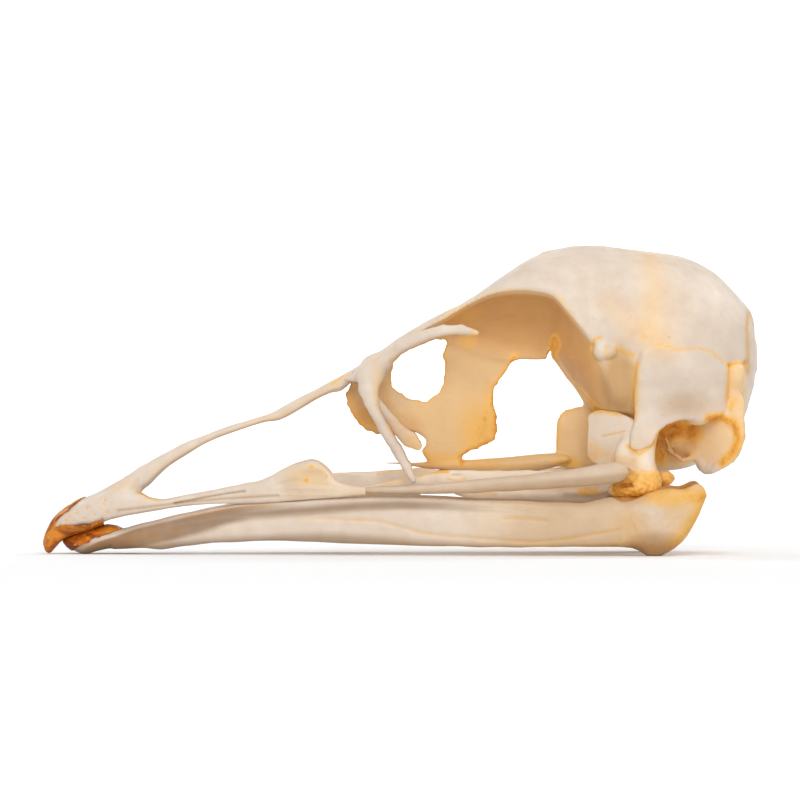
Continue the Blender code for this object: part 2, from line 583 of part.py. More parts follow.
def make_quadrate(name, side):
    """The hinge bone of the jaw: a head under the squamosal, two condyles and a broad eye process."""
    post = [
        (60.2, 18.4, 31.2), (58.6, 19.0, 28.4), (56.8, 19.3, 24.4), (56.6, 19.6, 20.4),
        (57.4, 19.9, 17.2), (57.8, 19.9, 16.0),
    ]
    bone = rod(name, post, (1.7, 2.3, 2.9, 3.1, 3.3, 2.2), (1.3, 1.7, 2.0, 2.4, 3.2, 2.4), side)
    low = track((43.4, 26.0), (46, 22.8), (50, 20.6), (56, 18.4))
    high = track((43.4, 32.0), (46, 32.6), (50, 31.4), (56, 28.4))
    middle = track((43.4, 8.2), (48, 12.0), (52, 15.6), (56, 18.6))
    width = track((43.4, 0.6), (50, 1.1), (56, 1.6))
    eye_process = lambda x: oval(middle(x), low(x), high(x), width(x))
    fuse(bone, loft("eye_process", (43.4, 46, 49, 52, 56), eye_process, side))
    fuse(bone, ball("lateral_condyle", (53.5, side * 19.4, 15.95), (5.0, 3.2, 2.4)))
    fuse(bone, ball("medial_condyle", (60.6, side * 16.4, 17.7), (2.5, 2.2, 1.9)))
    cut(bone, loft("case_room", CASE_STATIONS[3:10], case_section(GAP)))
    cut(bone, loft("squamosal_room", (50, 53.6, 55, 57, 59, 62, 66, 70), squamosal_section(GAP), side))
    return finish(bone, BONE_WARM, 0.6)


def make_pterygoid(name, side):
    """Palatine and pterygoid in one twisted blade from the palate back to the quadrate."""
    low = track(
        (-8.8, 15.3), (0, 15.4), (10, 15.5), (13, 13.6), (17, 12.8), (30, 12.5), (40, 12.0),
        (46, 12.8), (51, 14.6),
    )
    high = track(
        (-8.8, 15.7), (-3, 16.7), (3, 17.9), (10.5, 19.2), (20, 19.0), (30, 19.1), (40, 18.9),
        (46, 18.4), (51, 17.8),
    )
    middle = track((-8.8, 10.4), (0, 9.4), (10, 8.4), (20, 8.8), (30, 11.0), (40, 14.0), (49.3, 16.6))
    width = track((-8.8, 0.4), (0, 0.7), (20, 1.0), (40, 1.5), (47, 1.8), (49.3, 1.0))
    stations = (-8.8, -4, 1, 6, 10.5, 15, 21, 27, 34, 40, 45.5, 48.9)
    blade = loft(name, stations, lambda x: oval(middle(x), low(x), high(x), width(x)), side)
    return finish(blade, BONE_WARM, 0.6)


def make_vomer():
    """A thin trough on the midline of the palate, open above."""
    high = track(
        (-33, 15.9), (-28, 17.2), (-22, 18.4), (-15.5, 18.7), (-8, 18.9), (0, 19.4), (6, 19.7),
        (12, 18.6),
    )
    low = track((-33, 13.2), (-28, 12.7), (-10, 12.9), (3, 13.1), (6, 14.2), (12, 15.0))
    width = track((-33, 1.3), (-25, 3.0), (-10, 3.8), (5, 3.4), (12, 2.0))
    stations = (-33, -29, -24, -18, -10, -3, 4, 9, 12)
    top = lambda x: 2 * high(x) - low(x)
    outer = whole_width(low, top, width, BAR_SQUARENESS)
    trough = loft("vomer", stations, outer)
    floor, lid, inside = lambda x: low(x) + 1.0, lambda x: top(x) - 1.0, lambda x: width(x) - 0.8
    inner = whole_width(floor, lid, inside, BAR_SQUARENESS)
    cut(trough, loft("hollow", (-31,) + stations[1:-1] + (10.5,), inner))
    ceiling = lambda x: [(-9, high(x)), (9, high(x)), (9, 30), (-9, 30)]
    cut(trough, loft("ceiling", (-35,) + stations[1:-1] + (14,), ceiling))
    return finish(trough, BONE_WARM, 0.6)


def main():
    for old in list(bpy.data.objects):
        bpy.data.objects.remove(old, do_unlink=True)
    make_cranium()
    make_upper_bill()
    make_upper_horn()
    make_mandible()
    make_lower_horn()
    make_vomer()
    for word, side in SIDES.items():
        make_lacrimal("lacrimal_" + word, side)
        make_cheek_bar("jugal_bar_" + word, side)
        make_quadrate("quadrate_" + word, side)
        make_pterygoid("pterygoid_" + word, side)


main()
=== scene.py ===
"""The looks of an emu skull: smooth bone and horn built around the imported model.

Every bone is a field of distances on a fine grid: rounded bars, plates and hollows are blended into
it, and its zero surface becomes the mesh. Shapes are in millimetres and in the model's frame, with
the beak along -X and +Z up. "out" is the distance from the middle plane, so one side serves both.
"""

import math

import bpy
import mathutils
import numpy as np
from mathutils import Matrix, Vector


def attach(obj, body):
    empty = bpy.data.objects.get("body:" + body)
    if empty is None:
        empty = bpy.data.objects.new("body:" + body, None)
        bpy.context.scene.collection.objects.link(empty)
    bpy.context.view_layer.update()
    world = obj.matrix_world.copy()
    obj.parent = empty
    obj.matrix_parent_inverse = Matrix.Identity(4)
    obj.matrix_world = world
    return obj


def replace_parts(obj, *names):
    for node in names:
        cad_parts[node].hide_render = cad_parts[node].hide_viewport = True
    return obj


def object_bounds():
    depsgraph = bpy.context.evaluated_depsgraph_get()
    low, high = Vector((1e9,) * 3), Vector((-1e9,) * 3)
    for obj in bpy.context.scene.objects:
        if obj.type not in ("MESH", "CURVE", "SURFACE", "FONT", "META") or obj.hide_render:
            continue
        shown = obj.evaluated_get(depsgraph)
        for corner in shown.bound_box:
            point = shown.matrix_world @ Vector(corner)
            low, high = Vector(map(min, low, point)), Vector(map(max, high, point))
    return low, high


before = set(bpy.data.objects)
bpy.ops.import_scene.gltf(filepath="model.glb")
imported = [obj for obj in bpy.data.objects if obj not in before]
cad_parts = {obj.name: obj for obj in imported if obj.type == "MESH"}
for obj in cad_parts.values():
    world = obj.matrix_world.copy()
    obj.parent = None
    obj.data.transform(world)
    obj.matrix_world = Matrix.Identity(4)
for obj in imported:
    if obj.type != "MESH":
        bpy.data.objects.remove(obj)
CAD_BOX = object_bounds()

MM = 0.001
SKULL_HEIGHT = 71.2
BACK_OF_HEAD = 82.5
EMPTY = 9.0  # distance stored where nothing is near
WALL = 1.8  # thickness of the braincase
CASE_SQUARENESS = 2.25
CASE_FRONT = 34.6
ROOF_FRONT, ROOF_REAR = -11.0, 47
WING_FRONT, WING_REAR = 65, 79.2
DIP_DEPTH, DIP_PLACE, DIP_WIDTH = 0.55, 36.2, 4.2
FLOOR_GAP = 0.02  # the lowest points stay this far above the floor


# Curves and distances

def track(*points):
    """A smooth function through (x, value) points, level beyond its two ends."""
    xs, values = np.array(points, dtype=float).T
    last = len(xs) - 1
    low = np.maximum(np.arange(last + 1) - 1, 0)
    high = np.minimum(np.arange(last + 1) + 1, last)
    slopes = (values[high] - values[low]) / (xs[high] - xs[low])

    def value(x):
        x = np.clip(x, xs[0], xs[last])
        i = np.clip(np.searchsorted(xs, x, side="right") - 1, 0, last - 1)
        span = xs[i + 1] - xs[i]
        t = (x - xs[i]) / span
        rise = values[i] * (1 + 2 * t) * (1 - t) ** 2 + values[i + 1] * (3 - 2 * t) * t**2
        return rise + span * (slopes[i] * t * (1 - t) ** 2 - slopes[i + 1] * t**2 * (1 - t))

    return value


def oval(a, b, radius_a, radius_b, power=2.0):
    """Distance, to first order, from an ellipse; above power 2 it is squarer."""
    u = np.abs(a) / radius_a
    v = np.abs(b) / radius_b
    reach = np.maximum((u**power + v**power) ** (1 / power), 1e-4)
    steep = np.hypot((u / reach) ** (power - 1) / radius_a, (v / reach) ** (power - 1) / radius_b)
    return (reach - 1) / steep


def smooth_less(a, b, blend):
    """The lesser of two distances, rounded where they meet."""
    overlap = np.maximum(blend - np.abs(a - b), 0) / blend
    return np.minimum(a, b) - overlap * overlap * blend / 4


def from_line(x, z, points):
    """Distance in the side view from an open row of (x, z) points."""
    nearest = np.full(np.broadcast(x, z).shape, 1e3)
    for (x0, z0), (x1, z1) in zip(points, points[1:]):
        length = (x1 - x0) ** 2 + (z1 - z0) ** 2
        t = np.clip(((x - x0) * (x1 - x0) + (z - z0) * (z1 - z0)) / length, 0, 1)
        nearest = np.minimum(nearest, np.hypot(x - x0 - t * (x1 - x0), z - z0 - t * (z1 - z0)))
    return nearest


def from_outline(x, z, points):
    """Distance in the side view from a closed outline, negative inside."""
    points = list(points)
    inside = np.zeros(np.broadcast(x, z).shape, dtype=bool)
    for (x0, z0), (x1, z1) in zip(points, points[1:] + points[:1]):
        if z0 != z1:
            crosses = ((z0 > z) != (z1 > z)) & (x < (x1 - x0) * (z - z0) / (z1 - z0) + x0)
            inside = inside ^ crosses
    nearest = from_line(x, z, points + points[:1])
    return np.where(inside, -nearest, nearest)


def ripple(x, y, z, size, seed):
    """A soft random-looking wave field between about -1 and 1, with bumps of the given size."""
    draw = np.random.default_rng(seed)
    total = 0.0
    for _ in range(9):
        direction = draw.normal(size=3)
        direction /= np.linalg.norm(direction)
        pace = 2 * math.pi / (size * draw.uniform(0.7, 1.5))
        phase = draw.uniform(0, 2 * math.pi)
        total = total + np.sin(pace * (direction[0] * x + direction[1] * y + direction[2] * z) + phase)
    return total / 4.0


# Shapes: each is a box (low, high) and a function that gives the distance at (x, out, z)

def bar(start, end, low, high, middle, width, power=2.0, reach=30.0):
    """A bar along X whose oval section follows its lower edge, upper edge, middle and half width."""

    def distance(x, out, z):
        centre = (low(x) + high(x)) / 2
        half = np.maximum((high(x) - low(x)) / 2, 0.05)
        d = oval(out - middle(x), z - centre, np.maximum(width(x), 0.05), half, power)
        return np.maximum(d, np.maximum(start - x, x - end))

    xs = np.linspace(start, end, 60)
    box_low = (start, max((middle(xs) - width(xs)).min(), -reach), low(xs).min())
    box_high = (end, (middle(xs) + width(xs)).max(), high(xs).max())
    return box_low, box_high, distance


def rod(path, across, along):
    """A round rod through (x, out, z) points, with half widths across the side view and along it."""
    points = np.array(path, dtype=float)
    side = np.array([0.0, 1.0, 0.0])

    def distance(x, out, z):
        best = None
        for i in range(len(points) - 1):
            start, run = points[i], points[i + 1] - points[i]
            dx, dy, dz = x - start[0], out - start[1], z - start[2]
            t = np.clip((dx * run[0] + dy * run[1] + dz * run[2]) / (run @ run), 0, 1)
            dx, dy, dz = dx - t * run[0], dy - t * run[1], dz - t * run[2]
            flat = np.cross(run, side)
            flat /= np.linalg.norm(flat)
            deep = np.cross(run, flat)
            deep /= np.linalg.norm(deep)
            over = dx * flat[0] + dy * flat[1] + dz * flat[2]
            under = dx * deep[0] + dy * deep[1] + dz * deep[2]
            length = np.sqrt(np.maximum(dx * dx + dy * dy + dz * dz - over * over - under * under, 0))
            wide = across[i] + t * (across[i + 1] - across[i])
            thick = along[i] + t * (along[i + 1] - along[i])
            d = oval(np.hypot(over, length), under, wide, thick)
            best = d if best is None else smooth_less(best, d, 0.4)
        return best

    fat = max(max(across), max(along))
    return points.min(axis=0) - fat, points.max(axis=0) + fat, distance


def ball(centre, radii):
    """An ellipsoid."""

    def distance(x, out, z):
        u, v, w = (x - centre[0]) / radii[0], (out - centre[1]) / radii[1], (z - centre[2]) / radii[2]
        size = np.maximum(np.sqrt(u * u + v * v + w * w), 1e-4)
        steep = np.sqrt((u / radii[0]) ** 2 + (v / radii[1]) ** 2 + (w / radii[2]) ** 2) / size
        return (size - 1) / np.maximum(steep, 1e-4)

    return np.subtract(centre, radii), np.add(centre, radii), distance


def plate(outline, thickness, middle=0.0, rough=0.0, rounding=0.3):
    """A thin sheet at out = middle with an (x, z) outline; rough breaks its edge."""
    xs = [p[0] for p in outline]
    zs = [p[1] for p in outline]

    def distance(x, out, z):
        edge = from_outline(x, z, outline) + rough * ripple(x, 0, z, 1.7, 5)
        face = np.abs(out - middle) - thickness
        outer = np.hypot(np.maximum(edge + rounding, 0), np.maximum(face + rounding, 0))
        return np.minimum(np.maximum(edge, face) + rounding, 0) + outer - rounding

    low = (min(xs), middle - thickness, min(zs))
    high = (max(xs), middle + thickness, max(zs))
    return low, high, distance


class Volume:
    """A grid of distances over x, out and z, negative inside the bone."""

    def __init__(self, low, high, step):
        self.step = step
        self.low = np.array(low, dtype=float)
        counts = np.ceil((np.array(high) - self.low) / step).astype(int) + 1
        self.axes = [self.low[k] + step * np.arange(counts[k]) for k in range(3)]
        self.field = np.full(counts, EMPTY)

    def _window(self, low, high, margin):
        """The slices of the grid that hold a box with a margin, and their coordinates."""
        slices = []
        for axis, a, b in zip(self.axes, low, high):
            first = np.searchsorted(axis, a - margin)
            last = np.searchsorted(axis, b + margin)
            slices.append(slice(max(first, 0), max(last, 0)))
        x, out, z = (axis[s] for axis, s in zip(self.axes, slices))
        return tuple(slices), x[:, None, None], out[None, :, None], z[None, None, :]

    def add(self, shape, blend=0.6):
        """Joins a shape on, rounded where they meet."""
        low, high, distance = shape
        window, x, out, z = self._window(low, high, 1.5 + blend)
        self.field[window] = smooth_less(self.field[window], distance(x, out, z), blend)
        return self

    def cut(self, shape, blend=0.3):
        """Takes a shape away, rounded along the edge."""
        low, high, distance = shape
        window, x, out, z = self._window(low, high, 1.5 + blend)
        self.field[window] = -smooth_less(-self.field[window], distance(x, out, z), blend)
        return self

    def keep(self, shape_distance):
        """Keeps only what lies inside the given distance function."""
        x, out, z = self.grid()
        self.field = np.maximum(self.field, shape_distance(x, out, z))
        return self

    def grid(self):
        """The coordinates of every grid value."""
        x, out, z = self.axes
        return x[:, None, None], out[None, :, None], z[None, None, :]

    def engrave(self, line, width, depth, outside=0.0, inside=99.0):
        """Presses a groove along a line of the side view into the outer face."""
        xs = [p[0] for p in line]
        zs = [p[1] for p in line]
        low, high = (min(xs), outside, min(zs)), (max(xs), inside, max(zs))
        window, x, out, z = self._window(low, high, 3 * width)
        groove = depth * np.exp(-((from_line(x, z, line) / width) ** 2))
        self.field[window] += groove * (out > outside) * (out < inside)
        return self

    def swell(self, line, width, height, outside=0.0):
        """Raises a soft ridge along a line of the side view."""
        return self.engrave(line, width, -height, outside)

    def roughen(self, size, depth, seed, mask=None):
        """Lifts and lowers the surface gently."""
        x, out, z = self.grid()
        lift = depth * ripple(x, out, z, size, seed)
        if mask is not None:
            lift = lift * mask(x, out, z)
        self.field += np.where(np.abs(self.field) < 4, lift, 0)
        return self

    def mirrored(self):
        """The same bone on both sides of the middle plane; the grid has to start at out = 0."""
        whole = Volume.__new__(Volume)
        whole.step = self.step
        whole.field = np.concatenate([self.field[:, :0:-1], self.field], axis=1)
        out = self.axes[1]
        whole.axes = [self.axes[0], np.concatenate([-out[:0:-1], out]), self.axes[2]]
        whole.low = np.array([axis[0] for axis in whole.axes])
        return whole

    def sample(self, points):
        """The distance at any points, between grid values."""
        place = (points - self.low) / self.step
        limit = np.array(self.field.shape) - 2
        base = np.clip(np.floor(place).astype(int), 0, limit)
        t = np.clip(place - base, 0, 1)
        total = 0.0
        for corner in np.ndindex(2, 2, 2):
            weight = np.prod(np.where(corner, t, 1 - t), axis=1)
            i, j, k = (base + corner).T
            total = total + weight * self.field[i, j, k]
        return total

    def skin(self):
        """The zero surface: one point in each cell that it crosses, joined by four-sided faces."""
        inside = self.field < 0
        count = np.zeros([n - 1 for n in inside.shape], dtype=np.int8)
        corners = list(np.ndindex(2, 2, 2))
        for i, j, k in corners:
            count += inside[i : i + count.shape[0], j : j + count.shape[1], k : k + count.shape[2]]
        active = (count > 0) & (count < 8)
        cells = np.argwhere(active)
        index = np.full(active.shape, -1)
        index[active] = np.arange(len(cells))
        total = np.zeros((len(cells), 3))
        hits = np.zeros(len(cells))
        for a in corners:
            for axis in range(3):
                if a[axis]:
                    continue
                b = tuple(1 if n == axis else a[n] for n in range(3))
                near = self.field[tuple((cells + a).T)]
                far = self.field[tuple((cells + b).T)]
                crossed = (near < 0) != (far < 0)
                place = np.tile(np.array(a, dtype=float), (len(cells), 1))
                place[:, axis] = near / np.where(near == far, 1, near - far)
                total[crossed] += place[crossed]
                hits[crossed] += 1
        points = self.low + (cells + total / hits[:, None]) * self.step
        faces = []
        for axis in range(3):
            first, second = [n for n in range(3) if n != axis]
            near = np.moveaxis(inside, axis, 0)[:-1]
            far = np.moveaxis(inside, axis, 0)[1:]
            places = np.argwhere(near != far)
            places = places[(places[:, 1] > 0) & (places[:, 2] > 0)]
            leaving = near[tuple(places.T)]
            cell = np.empty_like(places)
            cell[:, axis] = places[:, 0]
            cell[:, first] = places[:, 1]
            cell[:, second] = places[:, 2]
            ring = []
            for back_first, back_second in ((0, 0), (1, 0), (1, 1), (0, 1)):
                corner = cell.copy()
                corner[:, first] -= back_first
                corner[:, second] -= back_second
                ring.append(index[tuple(corner.T)])
            ring = np.stack(ring, axis=1)
            turn = leaving if axis != 1 else ~leaving
            ring[~turn] = ring[~turn][:, ::-1]
            faces.append(ring)
        return points, np.concatenate(faces)


# Outlines read from the side of the skull

CROWN = track(
    (-11, 42.6), (-5, 46.5), (0, 50.1), (5, 53.2), (10, 55.8), (15, 58.3), (20, 61.6), (25, 65.2),
    (30, 68.3), (34, 70.0), (38, 70.9), (43, SKULL_HEIGHT), (50, 70.7), (57, 69.9), (63, 69.0),
    (68, 67.5), (72.6, 64.9), (75.8, 62.0), (78.7, 58.9), (80.6, 56.6), (81.7, 54.4),
    (BACK_OF_HEAD, 48.0),
)
RIM_REACH = track(
    (-11, 6.9), (-5, 7.8), (0, 8.6), (5, 11.4), (10, 13.3), (20, 16.4), (30, 19.3), (40, 21.2), (47, 19.6),
)
RIM_HEIGHT = track(
    (-11, 40.6), (-5, 44.2), (0, 47.6), (5, 51.2), (10, 54.0), (15, 57.0), (20, 59.5), (25, 60.6),
    (30, 60.6), (35, 59.5), (38, 56.4), (41, 52.8), (44, 49.5), (47, 49),
)
KEEL_HEIGHT = track(
    (-11, 39.7), (-5, 42.8), (0, 46.6), (5, 48.9), (8, 49.8), (14, 48.6), (20, 46.4), (27, 45.0),
    (36, 45.2), (47, 47),
)
KEEL_WIDTH = track((-11, 5.0), (0, 3.4), (10, 1.2), (18, 0.7), (28, 1.0), (34, 2.6), (40, 12), (47, 18))
CASE_FLOOR = track(
    (34.6, 50.5), (36, 44.8), (38, 41.2), (40, 38.6), (42, 35.6), (44, 32.6), (50, 29.0), (56, 27.2),
    (62, 26.2), (68, 26.0), (73, 27.0), (77, 28.8), (80, 31.8), (81.6, 37.5), (BACK_OF_HEAD, 42.5),
)
CASE_WIDTH = track(
    (34.6, 2.0), (36, 6.0), (38, 10.0), (41, 15.2), (45, 19.6), (50, 22.6), (56, 24.2), (62, 24.2),
    (68, 22.6), (73, 19.6), (77, 15.6), (80, 11.0), (81.8, 6.5), (BACK_OF_HEAD, 2.5),
)
SQUAMOSAL_TURN = 39.0  # below this height the cheek plate hangs straight down
SQUAMOSAL_HALF = 1.8
SQUAMOSAL_OUTLINE = (
    (55.1, 46.9), (59.4, 48.6), (63.9, 47.2), (68.1, 47.8), (71.4, 46.7), (75.7, 43.6), (75.3, 36.4),
    (75.6, 33.5), (74.2, 32.1), (70, 31.3), (66.4, 31.3), (63.6, 31), (61.1, 30), (59.4, 28.6),
    (58.1, 25.8), (56.7, 24.6), (55, 23.9), (53.3, 24.2), (52.5, 25.2), (52.7, 28), (53.8, 31.1),
    (53.6, 35.8), (54, 40.6), (54.4, 44.3),
)
SQUAMOSAL_TOP = ((54.4, 44.3), *SQUAMOSAL_OUTLINE[:6])
POSTORBITAL_RIDGE = ((46.6, 46.0), (47.4, 42.5), (48.6, 38.5), (49.2, 36.0))
WING_RIM = ((72, 19.4), (74, 20.6), (76.3, 22.6), (78.2, 25.4), (78.4, 28.6), (77.2, 31.6))
ROOF_NOTCH = ((33.9, 44.0), (34.0, 46.4), (34.6, 47.4), (35.0, 46.2), (35.1, 44.0))

SEPTUM_OUTLINE = (
    (-12.9, 37.2), (-12.5, 36.1), (-11.6, 33.2), (-9.9, 30.5), (-7.6, 28.6), (-5.4, 27.6), (0, 28.2),
    (3, 28.1), (5.5, 27.0), (6.1, 26.2), (6.1, 25.2), (5.0, 23.6), (6.0, 22.4), (6.8, 21.0),
    (14.2, 21.2), (14.6, 22.7), (15.6, 23.4), (18, 24.2), (20.4, 25.2), (22.1, 26.3), (22.6, 29.0),
    (22.4, 32.0), (21.6, 34.5), (21.6, 36.8), (22.1, 38.8), (22.9, 40), (24.2, 41.5), (25.4, 43.2),
    (26.4, 45.6), (20, 48.5), (12, 51), (5, 50.4), (0, 47.8), (-5, 43.9), (-10.6, 40.4), (-10.8, 38.8),
)
SEPTUM_WINDOW = (
    (-1.6, 45.2), (-1.8, 42), (-1.9, 40.2), (-1.6, 38.5), (0, 37.2), (2.0, 35.9), (4, 35.65),
    (5.6, 35.6), (6, 35.1), (6.5, 35.8), (8.3, 36.9), (9.2, 37.7), (9.8, 39.3), (10.2, 42), (10.4, 44.3),
    (9.8, 45.4), (9.9, 46.3), (10.5, 48), (10.9, 49.2), (8.4, 49.3), (6, 48.6), (3.6, 47.6), (1.1, 46.5),
    (-0.6, 45.6),
)
ORBIT_EDGE = (
    (3, 50.2), (9.2, 53.2), (15, 57.1), (20, 59.5), (25.2, 60.6), (30, 60.3), (36.6, 59), (40.6, 52.7),
    (44.1, 47.1),
)
WALL_EDGE = ((34.8, 47.4), (36, 44.8), (38.7, 40.3), (41.4, 38.1), (43.2, 36), (45.5, 33.4), (48.5, 31.2))
NAPE_SUTURE = ((79.3, 44.4), (80.1, 41.8), (80.1, 46), (79.9, 52.5), (80.5, 56))
ORBIT_WALL = (
    (33, 50), (35.6, 46.5), (38, 42), (41, 38), (44.5, 34.5), (47.5, 31.8), (49.2, 33), (49.0, 36),
    (48.0, 39), (46.8, 43), (45.2, 46.5), (44, 48.5), (40, 52),
)
LOBE_TOP = ((75.6, 43.7), (77.4, 44.2), (79.2, 44.1))
QUADRATE_SUTURE = ((52.3, 25.2), (53.3, 24.0), (55, 23.5), (56.7, 24.5), (58.2, 26))

BASE_LOW = track(
    (36.2, 20.3), (40, 19.6), (47, 19.6), (55, 19.4), (62, 19.2), (67, 20.0), (72, 22.5), (76, 25.0),
)
BASE_HIGH = track((36.2, 30.8), (37.2, 32.6), (38.6, 33.5), (43, 34.2), (76, 34.0))
BASE_WIDTH = track(
    (36.2, 0.9), (41, 1.3), (43.2, 1.7), (44.6, 4.2), (47, 6.6), (50, 8.2), (54, 9.6), (58, 10.0),
    (66, 10.6), (72, 8.0), (76, 4.5),
)
WING_LOW = track(
    (65, 23.8), (68.2, 21.0), (69.3, 18.9), (70.6, 18.4), (73.9, 20.1), (76.4, 21.6), (78.3, 24.0),
    (79.2, 27.0),
)
WING_HIGH = track((65, 32.0), (70, 34.0), (75, 37.0), (77.5, 38.5), (79.2, 35.5))
WING_MIDDLE = track((65, 9.5), (70, 13.5), (75, 16.6), (79.2, 17.8))
WING_HALF = 1.7
DISH_OUTLINE = (
    (66.0, 28.6), (67.2, 30.4), (70, 31.2), (74.2, 30.8), (76.6, 28.8), (76.9, 26.4), (75.4, 23.9),
    (73.0, 21.9), (70.9, 20.9), (69.6, 22.0), (67.8, 24.0), (66.4, 26.0),
)
DISH_DEPTH = 0.8
ROSTRUM_LOW = track(
    (-4, 21.0), (0, 20.5), (5, 19.9), (12, 19.1), (20, 18.7), (26, 18.7), (32, 19.2), (36, 20.1),
    (38.6, 20.9), (39.4, 21.3),
)
ROSTRUM_HIGH = track(
    (-4, 21.35), (5, 21.1), (14, 21.7), (20, 22.0), (25, 22.4), (30, 22.8), (36, 23.1), (38.4, 22.9),
    (39.4, 22.3),
)
ROSTRUM_WIDTH = track((-4, 0.3), (5, 0.6), (20, 1.5), (30, 2.3), (38.6, 2.9), (39.4, 2.2))

CULMEN_HIGH = track(
    (-63, 17.6), (-60, 20.0), (-55, 22.9), (-50, 25.5), (-45, 27.5), (-40, 29.4), (-35, 30.9),
    (-30, 32.5), (-25, 35.2), (-20, 37.8), (-15, 40.4), (-11, 42.6),
)
CULMEN_LOW = track(
    (-63, 12.8), (-60, 14.4), (-58, 15.8), (-56, 17.8), (-53.5, 20.1), (-50, 22.4), (-45, 25.4),
    (-40, 27.5), (-35, 29.2), (-31, 30.4), (-28, 30.8), (-25, 32.2), (-20, 35.2), (-16, 37.1),
    (-13.5, 37.7), (-11, 39.8),
)
CULMEN_WIDTH = track(
    (-63, 5.0), (-58, 4.4), (-52, 3.6), (-45, 3.0), (-35, 2.6), (-30, 2.8), (-25, 3.7), (-18, 5.3),
    (-11, 6.9),
)
SIDE_BAR_HIGH = track(
    (-71, 12.4), (-66, 13.6), (-60.3, 14.1), (-58, 13.0), (-56, 12.6), (-54, 12.6), (-50, 13.4),
    (-45, 14.3), (-40, 15.3), (-36, 16.1), (-33, 16.6), (-30, 17.8), (-27.5, 19.2), (-25, 20.4),
    (-22, 21.4), (-20.5, 21.7), (-19, 21.4), (-17.5, 20.5), (-16.2, 19.2), (-14.8, 17.4), (-12.5, 16.3),
    (-9, 15.8), (-6, 15.7),
)
SIDE_BAR_LOW = track(
    (-71, 7.4), (-68, 7.9), (-64, 8.7), (-60, 9.4), (-55, 10.3), (-50, 11.1), (-45, 11.55), (-40, 11.75),
    (-35, 11.8), (-30, 12.1), (-20, 12.8), (-6, 14.0),
)
SIDE_BAR_MIDDLE = track(
    (-71, 4.6), (-66, 5.6), (-60, 7.0), (-50, 8.9), (-40, 10.7), (-30, 12.3), (-20, 13.8), (-10, 15.3),
    (-6, 15.8),
)
SIDE_BAR_WIDTH = track(
    (-71, 0.9), (-66, 1.4), (-58, 1.4), (-45, 1.2), (-35, 1.3), (-24, 1.6), (-15, 1.3), (-6, 1.0),
)
PREMAXILLA_HIGH = track(
    (-81, 5.4), (-80, 7.8), (-79, 9.0), (-78, 9.9), (-76, 11.3), (-74, 12.45), (-72, 13.3), (-70, 14.2),
    (-65, 16.9), (-59.9, 19.9),
)
PREMAXILLA_LOW = track(
    (-81, 3.6), (-80, 3.4), (-78, 4.4), (-76, 5.4), (-72, 6.3), (-70, 6.8), (-68, 7.5), (-65, 8.5),
    (-59.9, 9.8),
)
PREMAXILLA_WIDTH = track(
    (-81, 1.6), (-79.5, 3.1), (-78, 4.0), (-76, 4.85), (-73, 5.85), (-70, 6.7), (-65, 7.7), (-62.6, 7.3),
    (-61, 6.0), (-59.9, 4.6),
)

BAR_SLIT = ((-52, 11.9), (-48, 12.6), (-44, 13.4), (-40, 14.1), (-35.7, 14.7))
BAR_LINE = ((-65, 10.1), (-57, 11.1), (-47, 12.35), (-41, 12.9), (-36, 13.2), (-28, 13.7))
CULMEN_STREAK = ((-81.6, 5.4), (-79.6, 8.2), (-77, 10.4), (-73.5, 12.6))
BILL_PITS = (
    (-68.1, 12.5), (-68.4, 11.6), (-67.4, 9.8), (-70.4, 9.1), (-73, 8.3), (-75.3, 7.8), (-77.2, 7.7),
    (-72.2, 10.7), (-76.4, 8.7), (-74.6, 9.6),
)

UPPER_HORN_HIGH = track(
    (-82.5, 2.9), (-82.1, 4.4), (-81.4, 6.1), (-80.6, 7.6), (-79.5, 9.0), (-78, 10.3), (-76, 11.7),
    (-74, 12.8), (-71.8, 13.6), (-68.4, 14.95),
)
UPPER_HORN_LOW = track(
    (-82.5, 2.3), (-82.1, 0.9), (-81.3, 0.15), (-80.4, 0.5), (-79.4, 1.6), (-78.2, 2.8), (-76, 4.0),
    (-72, 5.1), (-68.4, 6.5),
)
UPPER_HORN_WIDTH = track(
    (-82.5, 0.6), (-82.0, 1.4), (-81, 2.3), (-79.5, 3.5), (-78, 4.4), (-76, 5.2), (-73, 6.2), (-68.4, 7.2),
)
HORN_TOP_EDGE = track(
    (-79.8, 6.6), (-79.4, 7.4), (-78, 8.8), (-76, 10.7), (-74, 12.4), (-72.2, 13.5), (-68, 16.0),
)
HORN_BOTTOM_EDGE = track(
    (-79.8, 6.4), (-79.0, 6.4), (-77.5, 6.9), (-76, 6.6), (-73, 6.6), (-70, 7.3), (-68.2, 8.4),
)
LOWER_HORN_HIGH = track(
    (-77.9, 3.0), (-77.3, 3.7), (-76, 4.25), (-72, 5.5), (-69, 6.5), (-67, 6.8), (-65.4, 6.5), (-63.8, 5.9),
)
LOWER_HORN_LOW = track(
    (-77.9, 2.6), (-77.2, 1.7), (-76.4, 1.0), (-75.3, 0.4), (-74, 0.0), (-72.9, -0.15), (-71, 0.3),
)
LOWER_HORN_WIDTH = track((-77.9, 1.6), (-77.2, 2.6), (-76, 3.6), (-74, 4.7), (-70, 5.9), (-63.8, 6.9))
LOWER_HORN_EDGE = track(
    (-76.2, 0.2), (-74.3, 1.7), (-72, 2.9), (-70, 3.8), (-68, 4.5), (-66, 5.1), (-63.8, 6.1), (-59, 7.6),
)

